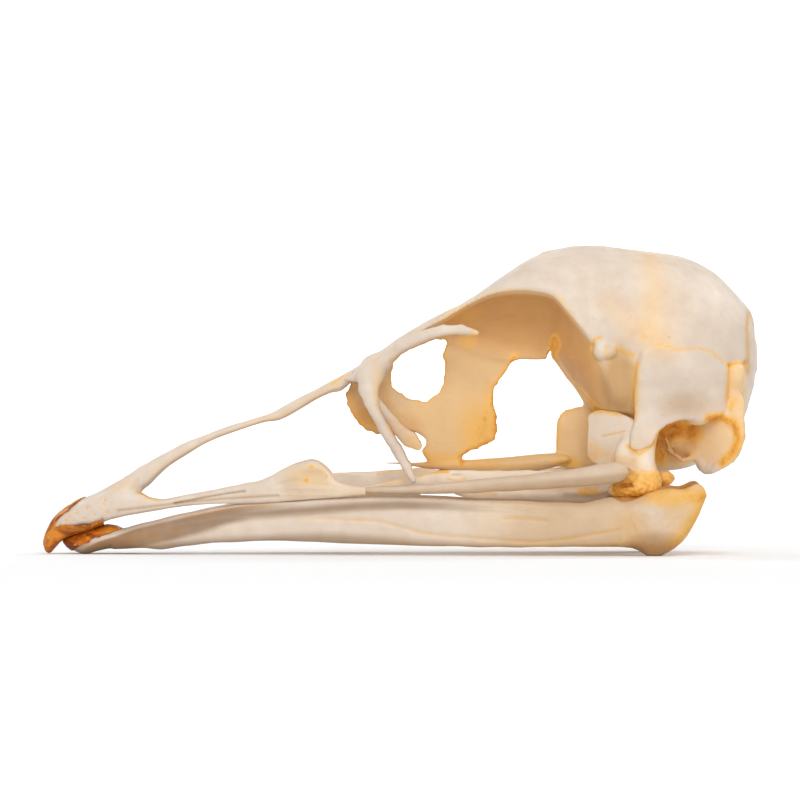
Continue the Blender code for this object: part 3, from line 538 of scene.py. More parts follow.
JAW_HIGH = track(
    (-74, 1.1), (-72, 2.4), (-70, 3.4), (-68, 4.1), (-66, 4.7), (-63.8, 5.5), (-60, 6.8), (-55, 8.1),
    (-50, 9.3), (-45, 10.4), (-40, 11.4), (-35, 12.1), (-30, 12.4), (-20, 12.8), (-10, 13.2), (-3, 13.4),
    (5, 13.2), (15, 12.8), (25, 12.7), (35, 12.3), (42, 12.2), (45, 12.8), (48.5, 13.5), (51.5, 12.5),
    (55, 13.5), (57, 14.3), (59, 14.9), (62, 15.5), (65.2, 15.4), (66.4, 15.9), (67.6, 16.4),
    (68.6, 16.45), (69.4, 16.1), (70.0, 15.2), (70.4, 14.2),
)
JAW_LOW = track(
    (-74, 0.4), (-73, -0.2), (-72, 0.0), (-70, 0.6), (-66, 1.3), (-60, 1.5), (-55, 1.2), (-50, 1.8),
    (-45, 2.4), (-38, 2.9), (-28, 3.2), (-18, 2.9), (-5, 2.5), (5, 2.2), (20, 1.9), (40, 2.0), (50, 2.1),
    (53, 1.8), (55, 1.0), (57, -0.2), (58.5, -0.5), (60, 0.0), (62, 1.1), (64, 2.5), (66, 4.8),
    (68, 8.2), (69.7, 12.0), (70.4, 13.6),
)
JAW_MIDDLE = track(
    (-66, 3.0), (-60, 4.6), (-50, 7.2), (-40, 9.3), (-30, 11.2), (-20, 12.9), (-10, 14.5), (0, 15.9),
    (10, 17.2), (20, 18.4), (30, 19.5), (40, 20.6), (50, 21.4), (60, 21.8), (70.2, 20.6),
)
JAW_WIDTH = track(
    (-66, 2.6), (-58, 2.4), (-40, 2.0), (-20, 1.8), (10, 1.8), (35, 2.1), (48, 2.6), (57, 3.8),
    (64, 3.2), (70.2, 1.2),
)
CHIN_HIGH = track((-76.9, 3.2), (-76, 4.0), (-72, 5.2), (-69, 5.8), (-66, 6.0), (-63.8, 5.7), (-59, 6.9))
CHIN_LOW = track(
    (-76.9, 2.0), (-76, 1.1), (-75, 0.5), (-74, 0.1), (-73, -0.15), (-72, 0.0), (-70, 0.6), (-66, 1.3),
    (-59, 1.5),
)
CHIN_WIDTH = track((-76.9, 2.4), (-76, 3.3), (-74, 4.4), (-70, 5.65), (-64, 6.6), (-59, 7.2))
JAW_GROOVE = (
    (-53, 6.6), (-50, 7.2), (-45, 8.1), (-40, 8.9), (-35, 9.3), (-30, 9.6), (-25, 10), (-20, 10.3),
    (-15, 10.8), (-10, 11.2), (0, 11.6), (10, 11.4), (20, 10.8), (35, 10.1), (45, 9.5),
)
JAW_SEAM = (
    (-22.5, 8.4), (-14, 8.3), (-6, 7.9), (-4, 7.7), (-1, 6.8), (2, 6), (5, 5.2), (10, 4.6), (15, 4.2),
    (20, 3.9), (25, 3.5), (30, 3.2), (35, 3.5), (40, 4.1), (45, 5.1), (50, 6),
)
JAW_SCAR = ((24, 8.5), (27, 8.7), (30, 8.5), (33.5, 8.1))

CHEEK_LOW = track(
    (-7.7, 14.2), (5, 14.1), (15, 14.3), (20, 14.6), (30, 15.1), (40, 15.9), (46, 16.3), (50, 16.9),
    (51.7, 17.7), (52.3, 18.7),
)
CHEEK_HIGH = track(
    (-7.7, 15.7), (0, 15.9), (10, 16.8), (20, 17.8), (30, 18.8), (40, 20.1), (46, 21.2), (50, 21.5),
    (51.7, 20.9), (52.3, 20.0),
)
CHEEK_MIDDLE = track((-7.7, 15.6), (0, 17.0), (20, 20.2), (40, 23.5), (52.3, 25.2))
CHEEK_WIDTH = track((-8.9, 0.3), (-6, 0.95), (10, 1.1), (30, 1.4), (45, 1.7), (50, 1.6), (52.3, 0.7))


def level(value):
    """A constant in the place of a track."""
    return lambda x: np.zeros_like(x) + value


def shifted(curve, amount):
    """A track raised by an amount."""
    return lambda x: curve(x) + amount


# The bones: each function returns its Volume

def crown_dip(x):
    """How far the crown is lowered where two shapes blend, since the blend swells by as much."""
    return DIP_DEPTH * np.exp(-(((x - DIP_PLACE) / DIP_WIDTH) ** 2))


def roof_distance(margin=0.0):
    """The crown above two eye sockets; a margin grows it, to cut room for its neighbours."""

    def distance(x, out, z):
        sink = np.maximum(0, x - 43) * 0.5 + crown_dip(x)
        top, rim = CROWN(x) - sink + margin, RIM_HEIGHT(x)
        reach, keel = RIM_REACH(x) + margin, KEEL_HEIGHT(x) - margin
        inner = KEEL_WIDTH(x) + margin
        above = oval(out, np.maximum(z - rim, 0), reach, top - rim, 2.15)
        socket = oval(np.minimum(out - reach, 0), np.maximum(z - keel, 0), reach - inner, rim - keel)
        d = -smooth_less(-above, socket, 1.2)
        return np.maximum(
            np.maximum(d, keel - 0.1 - z), np.maximum(ROOF_FRONT - margin * 9 - x, x - ROOF_REAR),
        )

    return distance


def case_side(x, z):
    """How far out the wall of the braincase is at a height."""
    floor, crown = CASE_FLOOR(x), CROWN(x)
    rise = np.clip(np.abs(2 * z - floor - crown) / (crown - floor), 0, 1)
    return CASE_WIDTH(x) * (1 - rise**CASE_SQUARENESS) ** (1 / CASE_SQUARENESS)


def squamosal_distance(x, out, z):
    """The cheek plate: nearly level with the braincase above, hanging straight down below."""
    edge = from_outline(x, z, SQUAMOSAL_OUTLINE) + 0.12 * ripple(x, 0, z, 1.7, 5)
    drop = np.maximum(SQUAMOSAL_TURN - z, 0)
    surface = case_side(x, np.maximum(z, SQUAMOSAL_TURN)) + 0.25 - 0.002 * drop**2
    face = np.abs(out - surface + SQUAMOSAL_HALF) - SQUAMOSAL_HALF
    outer = np.hypot(np.maximum(edge + 0.5, 0), np.maximum(face + 0.5, 0))
    return np.minimum(np.maximum(edge, face) + 0.5, 0) + outer - 0.5


def wing_lean(z):
    """How far the flange behind the ear leans in towards its top."""
    return 0.022 * np.maximum(z - 27, 0) ** 2


def wing_distance(x, out, z):
    """The flange behind the ear."""
    low, high = WING_LOW(x), WING_HIGH(x)
    middle = WING_MIDDLE(x) - wing_lean(z)
    d = oval(out - middle, z - (low + high) / 2, WING_HALF, (high - low) / 2, 2.6)
    return np.maximum(d, np.maximum(WING_FRONT - x, x - WING_REAR))


def dish_distance(x, out, z):
    """The shallow dish in the outer face of that flange."""
    bottom = WING_MIDDLE(x) - wing_lean(z) + WING_HALF - DISH_DEPTH
    return np.maximum(from_outline(x, z, DISH_OUTLINE), bottom - out)


def case_distance(margin=0.0):
    """The braincase; a margin grows it."""
    lowered = lambda x: CROWN(x) - 1.2 * np.clip((46 - x) / 5, 0, 1) - crown_dip(x) + margin
    floor, width = shifted(CASE_FLOOR, -margin), shifted(CASE_WIDTH, margin)
    return bar(CASE_FRONT, BACK_OF_HEAD, floor, lowered, level(0.0), width, CASE_SQUARENESS)


def cranium():
    """The braincase, the roof over the eyes, the septum, the base and the flange behind the ear."""
    bone = Volume((-14.5, 0, 17.5), (84, 26, 72.5), step=0.56)
    bone.add(case_distance(), 1.0)
    fossa = ball((50.3, 28.6, 39.5), (5.2, 8.0, 12.5))
    bone.cut(fossa, 3.0)
    bone.add(((-11, 0, 39), (47, 22, 72), roof_distance()), 3.4)
    bone.add(bar(36.2, 76, BASE_LOW, BASE_HIGH, level(0.0), BASE_WIDTH, 2.8), 1.5)
    bone.add(((65, 5, 18), (79.2, 21, 40), wing_distance), 2.2)
    bone.add(ball((68.6, 15.0, 31.6), (3.0, 4.4, 2.4)), 1.5)
    bone.add(ball((53.8, 20.6, 45.0), (1.8, 2.0, 2.0)), 1.5)
    bone.cut(((66, 8, 20), (77.5, 26, 32), dish_distance), 1.6)
    bone.cut(ball((62.8, 19.0, 26.3), (4.1, 9.4, 4.6)), 1.0)
    bone.add(ball((68.4, 17.0, 31.4), (2.6, 4.0, 1.5)), 0.6)
    bone.add(rod([(61.0, 10.5, 27.6), (62.6, 11.6, 23.6), (65.0, 12.4, 21.8), (67.6, 12.2, 22.4)],
                 (0.5, 0.55, 0.6, 0.5), (0.5, 0.6, 0.6, 0.5)), 0.6)
    bone.add(
        rod(
            [(61.0, 13.5, 27.2), (62.0, 12.4, 25.0), (60.8, 10.5, 22.6)],
            (0.45, 0.5, 0.45), (0.5, 0.6, 0.5),
        ),
        0.5,
    )
    bone.add(ball((63.6, 9.8, 26.3), (2.3, 2.0, 2.3)), 0.8)
    bone.add(ball((77.6, 13.4, 40.9), (2.1, 3.6, 3.4)), 1.2)
    bone.add(ball((76.0, 14.0, 43.2), (2.6, 2.6, 1.6)), 1.2)
    low, high = (52.4, 14, 23.6), (75.9, 25.3, 48.8)
    bone.add((low, high, squamosal_distance), 1.0)
    bone.add(ball((45.9, 20.3, 47.4), (1.7, 2.0, 2.1)), 0.4)
    bone.add(ball((48.5, 21.3, 47.0), (1.4, 1.5, 1.5)), 0.35)
    bone.cut(ball((51.4, 19.2, 31.4), (1.9, 4.6, 1.2)), 0.6)
    bone.add(plate(SEPTUM_OUTLINE, 0.65, rough=0.22), 2.2)
    bone.add(bar(-4, 39.4, ROSTRUM_LOW, ROSTRUM_HIGH, level(0.0), ROSTRUM_WIDTH), 0.3)
    bone.cut(plate(SEPTUM_WINDOW, 3.5, rough=0.15), 0.5)
    bone.cut(plate(ROOF_NOTCH, 6.0, rough=0.2), 0.3)
    bone.add(
        rod([(36.8, 4.6, 50.4), (36.2, 4.4, 48.6), (35.9, 3.6, 46.8)], (1.2, 1.1, 0.7), (1.7, 1.6, 1.2)),
        0.6,
    )
    bone.add(ball((77.2, 0.0, 26.6), (2.6, 2.6, 2.3)), 0.8)
    x, out, z = bone.grid()
    hollow = case_distance(-WALL)[2](x, out, z)
    hollow = np.maximum(np.maximum(hollow, WALL - fossa[2](x, out, z)), np.maximum(39 - x, x - 79.4))
    bone.field = np.maximum(bone.field, -hollow)
    hole = [(70, 0, 36.5), (76, 0, 35.0), (80, 0, 33.6), (86, 0, 31.8)]
    bone.cut(rod(hole, (4.6,) * 4, (4.6,) * 4), 0.6)
    bone.swell(POSTORBITAL_RIDGE, 1.3, 0.7, outside=15)
    bone.swell(WING_RIM, 1.0, 0.5, outside=8)
    bone.engrave(SQUAMOSAL_TOP, 0.35, 0.25, outside=12)
    bone.engrave(((75.7, 43.6), (75.4, 36.4), (75.5, 33.5)), 0.4, 0.5, outside=8)
    bone.engrave(NAPE_SUTURE, 0.4, 0.35, outside=2)
    bone.engrave(LOBE_TOP, 0.5, 0.2, outside=6)
    bone.engrave(((44.0, 47.2), (44.6, 49.6), (46.2, 50.2)), 0.35, 0.3, outside=15)
    bone.roughen(9.0, 0.12, 3)
    rim = lambda x, out, z: (from_line(x, z, WING_RIM) < 2.2) & (out > 8)
    bone.roughen(1.3, 0.22, 4, rim)
    return bone.mirrored()


def upper_bill():
    """The beak above the gape: tip, top bar and the two side bars."""
    bone = Volume((-82, 0, 2.8), (-7, 18, 44.5), step=0.27)
    bone.add(bar(-81, -59.9, PREMAXILLA_LOW, PREMAXILLA_HIGH, level(0.0), PREMAXILLA_WIDTH, 2.9), 0.6)
    bone.add(bar(-63, -10.9, CULMEN_LOW, CULMEN_HIGH, level(0.0), CULMEN_WIDTH, 3.2), 1.2)
    bone.add(bar(-71, -7.9, SIDE_BAR_LOW, SIDE_BAR_HIGH, SIDE_BAR_MIDDLE, SIDE_BAR_WIDTH, 2.6), 1.2)
    inner = track((-31, 9.0), (-27, 5.4), (-20, 4.6), (-16, 7.5))
    outer = track((-31, 12.4), (-16, 14.4))
    middle = lambda x: (inner(x) + outer(x)) / 2
    half = lambda x: (outer(x) - inner(x)) / 2
    bone.add(bar(-31, -16, level(14.1), level(15.0), middle, half, 5.0), 1.0)
    bone.cut(ball((-20.3, 15.7, 18.3), (3.6, 1.2, 1.8)), 0.5)
    bone.engrave(BAR_SLIT, 0.3, 0.35, outside=6)
    bone.engrave(BAR_LINE, 0.3, 0.25, outside=4)
    bone.engrave(((-28, 16.2), (-24, 17.2), (-21, 16.4), (-17, 16.1)), 0.35, 0.25, outside=10)
    bone.engrave(((-16, 39.0), (-13.5, 40.4), (-11.4, 41.2)), 0.3, 0.3, outside=2)
    for x, z in BILL_PITS:
        bone.engrave(((x - 0.15, z), (x + 0.15, z)), 0.26, 0.22, outside=1.5)
    bone.roughen(6.0, 0.04, 13)
    return bone.mirrored()


def upper_horn():
    """The hooked horn on the upper tip, with a ragged rear edge."""
    bone = Volume((-83.2, 0, -0.6), (-67.6, 8, 16), step=0.2)
    bone.add(bar(-82.5, -68.4, UPPER_HORN_LOW, UPPER_HORN_HIGH, level(0.0), UPPER_HORN_WIDTH, 3.4), 0.4)
    x, out, z = bone.grid()
    bare = np.maximum(HORN_BOTTOM_EDGE(x) - z, z - HORN_TOP_EDGE(x))
    bare = np.maximum(bare, -79.6 - x) + 0.3 * ripple(x, out, z, 1.3, 21) + 0.15 * ripple(x, out, z, 0.6, 22)
    bone.field = -smooth_less(-bone.field, bare, 0.15)
    bone.roughen(1.6, 0.06, 23)
    return bone.mirrored()


def lower_horn():
    """The horn on the lower tip, with a ragged rear edge."""
    bone = Volume((-78.6, 0, -0.6), (-63.2, 8, 7.2), step=0.2)
    bone.add(bar(-77.9, -63.8, LOWER_HORN_LOW, LOWER_HORN_HIGH, level(0.0), LOWER_HORN_WIDTH, 2.8), 0.4)
    x, out, z = bone.grid()
    bare = z - LOWER_HORN_EDGE(x) + 0.28 * ripple(x, out, z, 1.5, 25) + 0.14 * ripple(x, out, z, 0.6, 26)
    bone.field = -smooth_less(-bone.field, bare, 0.15)
    bone.keep(lambda x, out, z: FLOOR_GAP - z)
    bone.roughen(1.6, 0.06, 24)
    return bone.mirrored()


def mandible():
    """Both branches of the lower jaw and the chin that joins them."""
    bone = Volume((-77.6, 0, -0.8), (71.2, 26.6, 17.6), step=0.34)
    bone.add(bar(-76.9, -59.5, CHIN_LOW, CHIN_HIGH, level(0.0), CHIN_WIDTH, 2.4), 0.6)
    bone.add(bar(-66, 70.4, JAW_LOW, JAW_HIGH, JAW_MIDDLE, JAW_WIDTH, 2.6), 1.0)
    bone.add(ball((59.5, 19.0, 10.6), (5.6, 5.2, 4.2)), 1.5)
    bone.add(ball((52.6, 17.2, 11.6), (5.4, 3.4, 3.0)), 1.2)
    bone.add(rod([(60, 18, 10.5), (60.5, 14, 11), (61, 10.5, 12)], (3.0, 2.2, 1.0), (3.0, 1.8, 0.8)), 1.5)
    throat = track((-67, 1.0), (-64, 2.6), (-58, 4.0))
    bone.cut(bar(-67, -58, shifted(JAW_HIGH, -2.2), shifted(JAW_HIGH, 4.0), level(0.0), throat), 0.6)
    side = lambda x, out, z: out > JAW_MIDDLE(x) - 0.2
    x, out, z = bone.grid()
    outer = out > JAW_MIDDLE(x) + 0.2
    depth = track((-56, 0), (-50, 0.9), (-30, 1.2), (-8, 0.9), (12, 0.6), (45, 0.0))(x)
    width = track((-56, 0.8), (-45, 1.3), (-20, 1.15), (0, 0.8), (45, 0.6))(x)
    bone.field += np.where(outer, depth * np.exp(-((from_line(x, z, JAW_GROOVE) / width) ** 2)), 0)
    bone.field += np.where(outer, 0.3 * np.exp(-((from_line(x, z, JAW_SEAM) / 0.35) ** 2)), 0)
    bone.field += np.where(outer, 0.3 * np.exp(-((from_line(x, z, JAW_SCAR) / 0.5) ** 2)), 0)
    heel = lambda x, out, z: (x > 50) & side(x, out, z)
    bone.roughen(1.6, 0.06, 34, heel)
    bone.roughen(8.0, 0.1, 33)
    bone.keep(lambda x, out, z: FLOOR_GAP - z)
    return bone.mirrored()


def lacrimal():
    """The bone in front of the eye, with its spur, strut and tongue."""
    bone = Volume((-13.6, 6, 16), (19, 19, 54.5), step=0.28)
    spur = [
        (-12.4, 7.7, 40.5), (-9.0, 8.4, 41.0), (-7, 9.4, 42.0), (-4, 10.6, 44.6), (0, 12.2, 48.1),
        (5, 13.9, 50.2), (10, 15.4, 51.7), (14, 16.5, 51.9), (17.6, 17.2, 51.1),
    ]
    body = [(-6.4, 9.8, 43.4), (-7.0, 10.4, 41.0), (-7.2, 10.8, 38.0), (-6.8, 11.1, 35.4)]
    strut = [
        (-6.9, 11.0, 37.0), (-5.8, 11.4, 33.0), (-3.6, 12.4, 28.8), (-0.9, 13.6, 24.4),
        (1.5, 14.6, 20.3), (3.0, 15.0, 17.2),
    ]
    tongue = [(-5.6, 10.4, 35.4), (-3.2, 9.9, 32.2), (-0.4, 9.6, 28.9), (2.3, 9.4, 26.4), (4.0, 9.3, 25.1)]
    wide = (0.5, 1.3, 2.3, 2.2, 1.6, 1.3, 1.25, 1.1, 0.6)
    thick = (0.4, 1.0, 2.0, 2.0, 1.7, 1.4, 1.2, 1.0, 0.5)
    bone.add(rod(spur, wide, thick), 1.5)
    bone.add(rod(body, (2.4, 2.9, 2.3, 1.5), (1.8, 1.8, 1.6, 1.2)), 2.0)
    bone.add(rod(strut, (1.5, 1.3, 1.25, 1.2, 1.1, 0.7), (1.2, 1.1, 1.0, 0.9, 0.8, 0.5)), 1.0)
    bone.add(rod(tongue, (1.1, 1.3, 1.4, 1.8, 1.2), (0.7, 0.5, 0.5, 0.5, 0.3)), 0.6)
    bone.cut(((-14, 0, 38), (22, 22, 72), roof_distance(0.3)), 0.1)
    bone.roughen(4.0, 0.08, 43)
    return bone


def cheek_bar():
    """The slender bar from the bill to the jaw joint."""
    bone = Volume((-9.6, 13, 13), (53.3, 28, 22.6), step=0.3)
    bone.add(bar(-8.9, 52.3, CHEEK_LOW, CHEEK_HIGH, CHEEK_MIDDLE, CHEEK_WIDTH), 0.5)
    bone.engrave(((5, 15.2), (25, 16.3), (40, 17.4)), 0.4, 0.2, outside=14)
    bone.roughen(5.0, 0.07, 53)
    return bone


def quadrate():
    """The bone that carries the jaw: a post, a plate towards the middle and a knobbly foot."""
    bone = Volume((42.4, 6.5, 12.6), (64, 24.5, 34.6), step=0.3)
    post = [
        (59.4, 18.0, 31.2), (57.4, 18.7, 28.4), (55.9, 19.5, 24.6), (55.7, 19.8, 20.4),
        (56.6, 19.9, 17.2), (57.4, 19.9, 16.0),
    ]
    bone.add(rod(post, (1.5, 1.9, 2.6, 3.0, 3.4, 2.4), (1.3, 1.6, 2.0, 2.4, 3.0, 2.4)), 0.8)
    low = track((43.2, 22.6), (44, 21.4), (46, 20.2), (50, 18.8), (56, 17.6))
    high = track((43.2, 32.0), (44, 32.8), (46, 33.4), (50, 33.0), (53, 31.6), (56, 29.4))
    middle = track((43.2, 8.8), (48, 13.2), (52, 16.8), (56, 19.0))
    width = track((43.2, 0.5), (50, 1.1), (56, 1.6))
    bone.add(bar(43.2, 56, low, high, middle, width, 2.8), 2.0)
    bone.add(ball((52.6, 18.0, 22.4), (3.4, 2.2, 4.8)), 1.5)
    bone.add(ball((53.5, 19.4, 15.95), (5.0, 3.2, 2.4)), 1.6)
    bone.add(ball((50.2, 18.4, 14.9), (2.6, 1.9, 1.5)), 0.8)
    bone.cut(ball((51.2, 22.4, 16.2), (2.2, 1.4, 0.6)), 0.5)
    bone.add(ball((60.6, 16.4, 17.7), (2.5, 2.2, 1.9)), 0.8)
    bone.engrave(((46.4, 27.2), (51.5, 28.5)), 0.25, 0.3, outside=9)
    bone.cut(case_distance(0.15), 0.1)
    foot = lambda x, out, z: z < 20.5
    bone.roughen(1.4, 0.2, 64, foot)
    bone.roughen(5.0, 0.1, 63)
    return bone


def pterygoid():
    """The blade between the quadrate and the palate."""
    bone = Volume((-9.8, 6, 11.2), (50.3, 19.3, 20.4), step=0.3)
    low = track(
        (-8.8, 15.3), (0, 15.4), (10, 15.5), (13, 13.6), (17, 12.8), (30, 12.5), (40, 12.0), (46, 12.8),
        (51, 14.6),
    )
    high = track(
        (-8.8, 15.7), (-3, 16.7), (3, 18.0), (10.5, 19.4), (20, 19.3), (30, 19.4), (40, 19.1),
        (46, 18.4), (51, 17.8),
    )
    middle = track((-8.8, 10.4), (0, 9.4), (10, 8.4), (20, 8.8), (30, 11.0), (40, 14.0), (49.3, 16.6))
    width = track((-8.8, 0.4), (0, 0.7), (20, 1.0), (40, 1.5), (47, 1.8), (49.3, 1.0))
    bone.add(bar(-8.8, 49.3, low, high, middle, width, 2.4), 0.5)
    bone.cut(ball((13.1, 9.6, 18.1), (1.7, 0.9, 0.45)), 0.4)
    x, out, z = bone.grid()
    crease = from_line(x, z, ((15, 15.9), (25, 15.2), (35, 15.0), (45, 15.6)))
    bone.field += np.where(out > middle(x), 0.5 * np.exp(-((crease / 0.8) ** 2)), 0)
    bone.roughen(4.0, 0.1, 73)
    return bone


def vomer():
    """The open trough on the middle line of the palate."""
    bone = Volume((-34, 0, 12), (13, 5, 20.6), step=0.3)
    high = track(
        (-33, 15.9), (-28, 17.2), (-22, 18.4), (-15.5, 18.7), (-8, 18.9), (0, 19.4), (6, 19.7), (12, 18.6),
    )
    low = track((-33, 13.2), (-28, 12.7), (-10, 12.9), (3, 13.1), (6, 14.2), (12, 15.0))
    width = track((-33, 1.3), (-25, 3.0), (-10, 3.8), (5, 3.4), (12, 2.0))
    top = lambda x: 2 * high(x) - low(x)
    bone.add(bar(-33, 12, low, top, level(0.0), width, 2.6), 0.5)
    bone.cut(bar(-31, 10.5, shifted(low, 1.0), top, level(0.0), shifted(width, -0.9), 2.6), 0.4)
    bone.keep(lambda x, out, z: z - high(x))
    bone.roughen(4.0, 0.08, 83)
    return bone.mirrored()


# Colour masks: functions of x, out and z for each point of a skin. Each gives three values from 0 to 1:
# tone (honey to deep tan where bone is thin, on some undersides painted shade), stain (gold to amber
# grease) and a greyish brown: painted shade in grooves, slits and on undersides, and darker seams

def near(x, z, line, width):
    """1 on a line of the side view, fading away from it."""
    return np.exp(-((from_line(x, z, line) / width) ** 2))


def fade(value, start, end):
    """Rises smoothly from 0 at start to 1 at end."""
    t = np.clip((value - start) / (end - start), 0, 1)
    return t * t * (3 - 2 * t)


def within(x, out, z, centre, radii, soft=0.35):
    """1 inside an ellipsoid, fading out over its border."""
    q = np.sqrt(sum(((value - c) / r) ** 2 for value, c, r in zip((x, out, z), centre, radii)))
    return 1 - fade(q, 1 - soft, 1 + soft)


def drawn(x, z, *lines):
    """Lines of the side view laid over one another, each as a weight, its points and a width."""
    return sum(weight * near(x, z, points, width) for weight, points, width in lines)


def spotted(x, out, z, *spots):
    """Spots laid over one another, each as a weight, a centre, radii and a softness."""
    return sum(weight * within(x, out, z, *spot) for weight, *spot in spots)


def strongest(*values):
    """The greatest of several values, place by place."""
    most = values[0]
    for value in values[1:]:
        most = np.maximum(most, value)
    return most


def cranium_masks(x, out, z):
    """Tan sockets and septum, gold seams and edges, and painted shade in the temporal fossa and on
    the lower cheek plate above the ear.
    """
    flank = fade(out, 12, 15)
    socket = fade(RIM_HEIGHT(x) - z, -0.2, 1.0) * fade(RIM_REACH(x) - out, -0.3, 0.9)
    socket = socket * fade(x, -2, 5) * fade(46.8 - x, 0, 2.5)
    high = fade(z - KEEL_HEIGHT(x), -3.5, 4.5)
    sheet = fade(3.4 - out, 0, 1.6) * fade(47.5 - z, 0, 5) * fade(27 - x, 0, 2)
    front = fade(1 - x, 0, 6) * fade(42 - z, 0, 3)
    brow = near(x, z, ((20, 53.8), (23, 54.4), (26, 55)), 1.8)
    centre = within(x, out, z, (14, 0, 37), (6, 5, 8), 0.8)
    low = fade(37 - z, 0, 7) * fade(9 - x, 0, 6)
    septum = (
        sheet * fade(z, 21.3, 22.6)
        * (0.3 + 0.4 * front + 0.36 * low + 0.2 * fade(33 - z, 0, 8) - 0.26 * centre)
    )
    wall = (
        fade(-from_outline(x, z, ORBIT_WALL), -0.6, 0.9) * (0.9 - 0.25 * fade(x, 43, 48.5))
        * fade(22 - out, 0, 1)
    )
    fossa = within(x, out, z, (50.2, 20, 39), (4.0, 9, 9), 0.4)
    ear = within(x, out, z, (62.8, 13, 25.6), (6.6, 9.5, 6.8))
    dish = fade(-from_outline(x, z, DISH_OUTLINE), -0.8, 1.0) * fade(out, 8, 11)
    behind = fade(x, 75.3, 76.2) * fade(44.5 - z, 0, 1.5) * fade(80.6 - x, 0, 1.5) * fade(out, 6, 9)
    sheet_a = within(x, out, z, (39.5, 1, 27), (4.2, 5, 8.5), 0.3)
    beak = fade(23 - z, 0, 1) * fade(34 - x, 0, 8) * fade(4 - out, 0, 1)
    tone = strongest(
        socket * (0.56 + 0.32 * high), 0.92 * socket * brow, septum, wall, 0.58 * fossa, 0.72 * ear,
        # painted shade: the lower cheek plate, where it turns down and in
        0.15 * within(x, out, z, (66, 22, 34.6), (6, 7, 2.2), 0.7) * flank,
        0.42 * dish, 0.45 * behind, 0.02 * sheet_a, 0.06 * beak,
    )
    thin = fade(3.2 - out, 0, 1.2)
    on_thin = drawn(
        x, z,
        (1.0, SEPTUM_OUTLINE[14:29], 0.8),
        (0.3, ((19.6, 31), (20.0, 36), (20.3, 40)), 0.5),
        (0.5, ((5, 23.5), (7, 22), (14, 22)), 1.4),
        (0.5, SEPTUM_WINDOW, 0.6),
        (0.35, ((-12.6, 37), (-9.9, 30.5), (-5.4, 27.8)), 1.6),
        (0.25, ((6, 20.8), (20, 20.2), (30, 20.5)), 0.5),
    )
    on_flank = drawn(
        x, z,
        (0.5, SQUAMOSAL_OUTLINE[1:6], 0.28),
        (0.4, ((54.4, 44.3), (54, 40.6), (53.6, 35.8), (53.8, 31.1)), 0.5),
        (0.6, ((44.0, 47.3), (44.5, 49.6), (46.2, 50.2)), 0.35),
        (0.4, ((47.2, 48.4), (47.0, 46.4), (47.6, 45.2)), 0.3),
        (0.5, ((50, 47.6), (51.6, 46.6), (53.5, 46.2)), 0.6),
        (0.22, ((54, 44), (54, 36), (54, 33)), 1.2),
    )
    anywhere = drawn(
        x, z,
        (0.85, WALL_EDGE, 0.6),
        (0.8, ((45.5, 33.4), (48, 32), (50, 31.2)), 0.7),
        (0.45, NAPE_SUTURE, 0.4),
        (0.35, ((36.4, 24), (37.0, 31.8), (39.5, 33.4)), 0.6),
        (0.2, ((43.3, 24), (43.4, 29), (43.4, 32.8)), 0.4),
    )
    spots = spotted(
        x, out, z,
        (0.7, (19, 0, 28), (4.6, 4, 6), 0.9),
        (0.45, (15.5, 2, 49), (2.2, 4, 1.6), 0.6),
        (0.3, (15, 12, 54.5), (5, 9, 2.5), 0.7),
        (1.0, (36.2, 4.5, 48.8), (1.6, 4, 2.4)),
        (1.0, (51.6, 17.5, 31.5), (1.9, 7, 1.4)),
        (0.5, (56, 21, 50.5), (0.9, 6, 0.35)),
        (0.6, (38.5, 1, 20.8), (3.4, 4, 1.6), 0.5),
    )
    dish_rim = ((71, 31.6), (74, 31.8), (77, 30), (77.8, 26.4), (76.8, 24.0), (74, 21.2))
    behind_seam = ((75.7, 43.6), (75.3, 36.4), (75.6, 33.5), (77.2, 36))
    stain = on_thin * thin + on_flank * flank + anywhere + spots
    stain += 0.9 * near(x, z, LOBE_TOP, 0.45) * fade(out, 6, 8)
    stain += drawn(x, z, (0.55, behind_seam, 0.6), (1.1, dish_rim, 1.05)) * fade(out, 8, 12)
    stain += 1.3 * ear * strongest(fade(z, 25.0, 28.0), 0.9 * fade(62.4 - x, 0, 2.4))
    stain += 0.5 * near(x, z, ((52.5, 25.2), (53.3, 24.2), (55, 23.9), (57, 24.8)), 0.5) * fade(out, 16, 19)
    stain += 0.2 * near(x, z, ((57.5, 69), (58.5, 61), (57, 54), (60.5, 48.5)), 3.2) * fade(out, 3, 8)
    stain += 0.16 * near(x, z, ((48, 58), (53, 52), (57, 49.5)), 3.0) * fade(out, 10, 14)
    stain += 0.08 * within(x, out, z, (55.5, 22, 26.5), (3.2, 4, 3.4), 0.8) * flank
    tone = strongest(tone, 0.1 * within(x, out, z, (59.5, 20, 55), (6, 30, 8), 0.9) * fade(out, 4, 8))
    tone = strongest(tone, 0.4 * near(x, z, ORBIT_EDGE, 0.8) * fade(out, 5, 9))
    # painted shade on the lower cheek plate above the ear and in the temporal fossa; darker nape suture
    painted_shade_and_brown = 0.16 * within(x, out, z, (62, 22, 37), (5.5, 8, 5), 0.8) * flank + 0.45 * fossa
    painted_shade_and_brown += 0.32 * within(x, out, z, (65.5, 22, 35.0), (5.0, 8, 3.0), 0.7) * flank
    painted_shade_and_brown += 0.25 * near(x, z, NAPE_SUTURE, 0.6)
    return tone, stain, painted_shade_and_brown


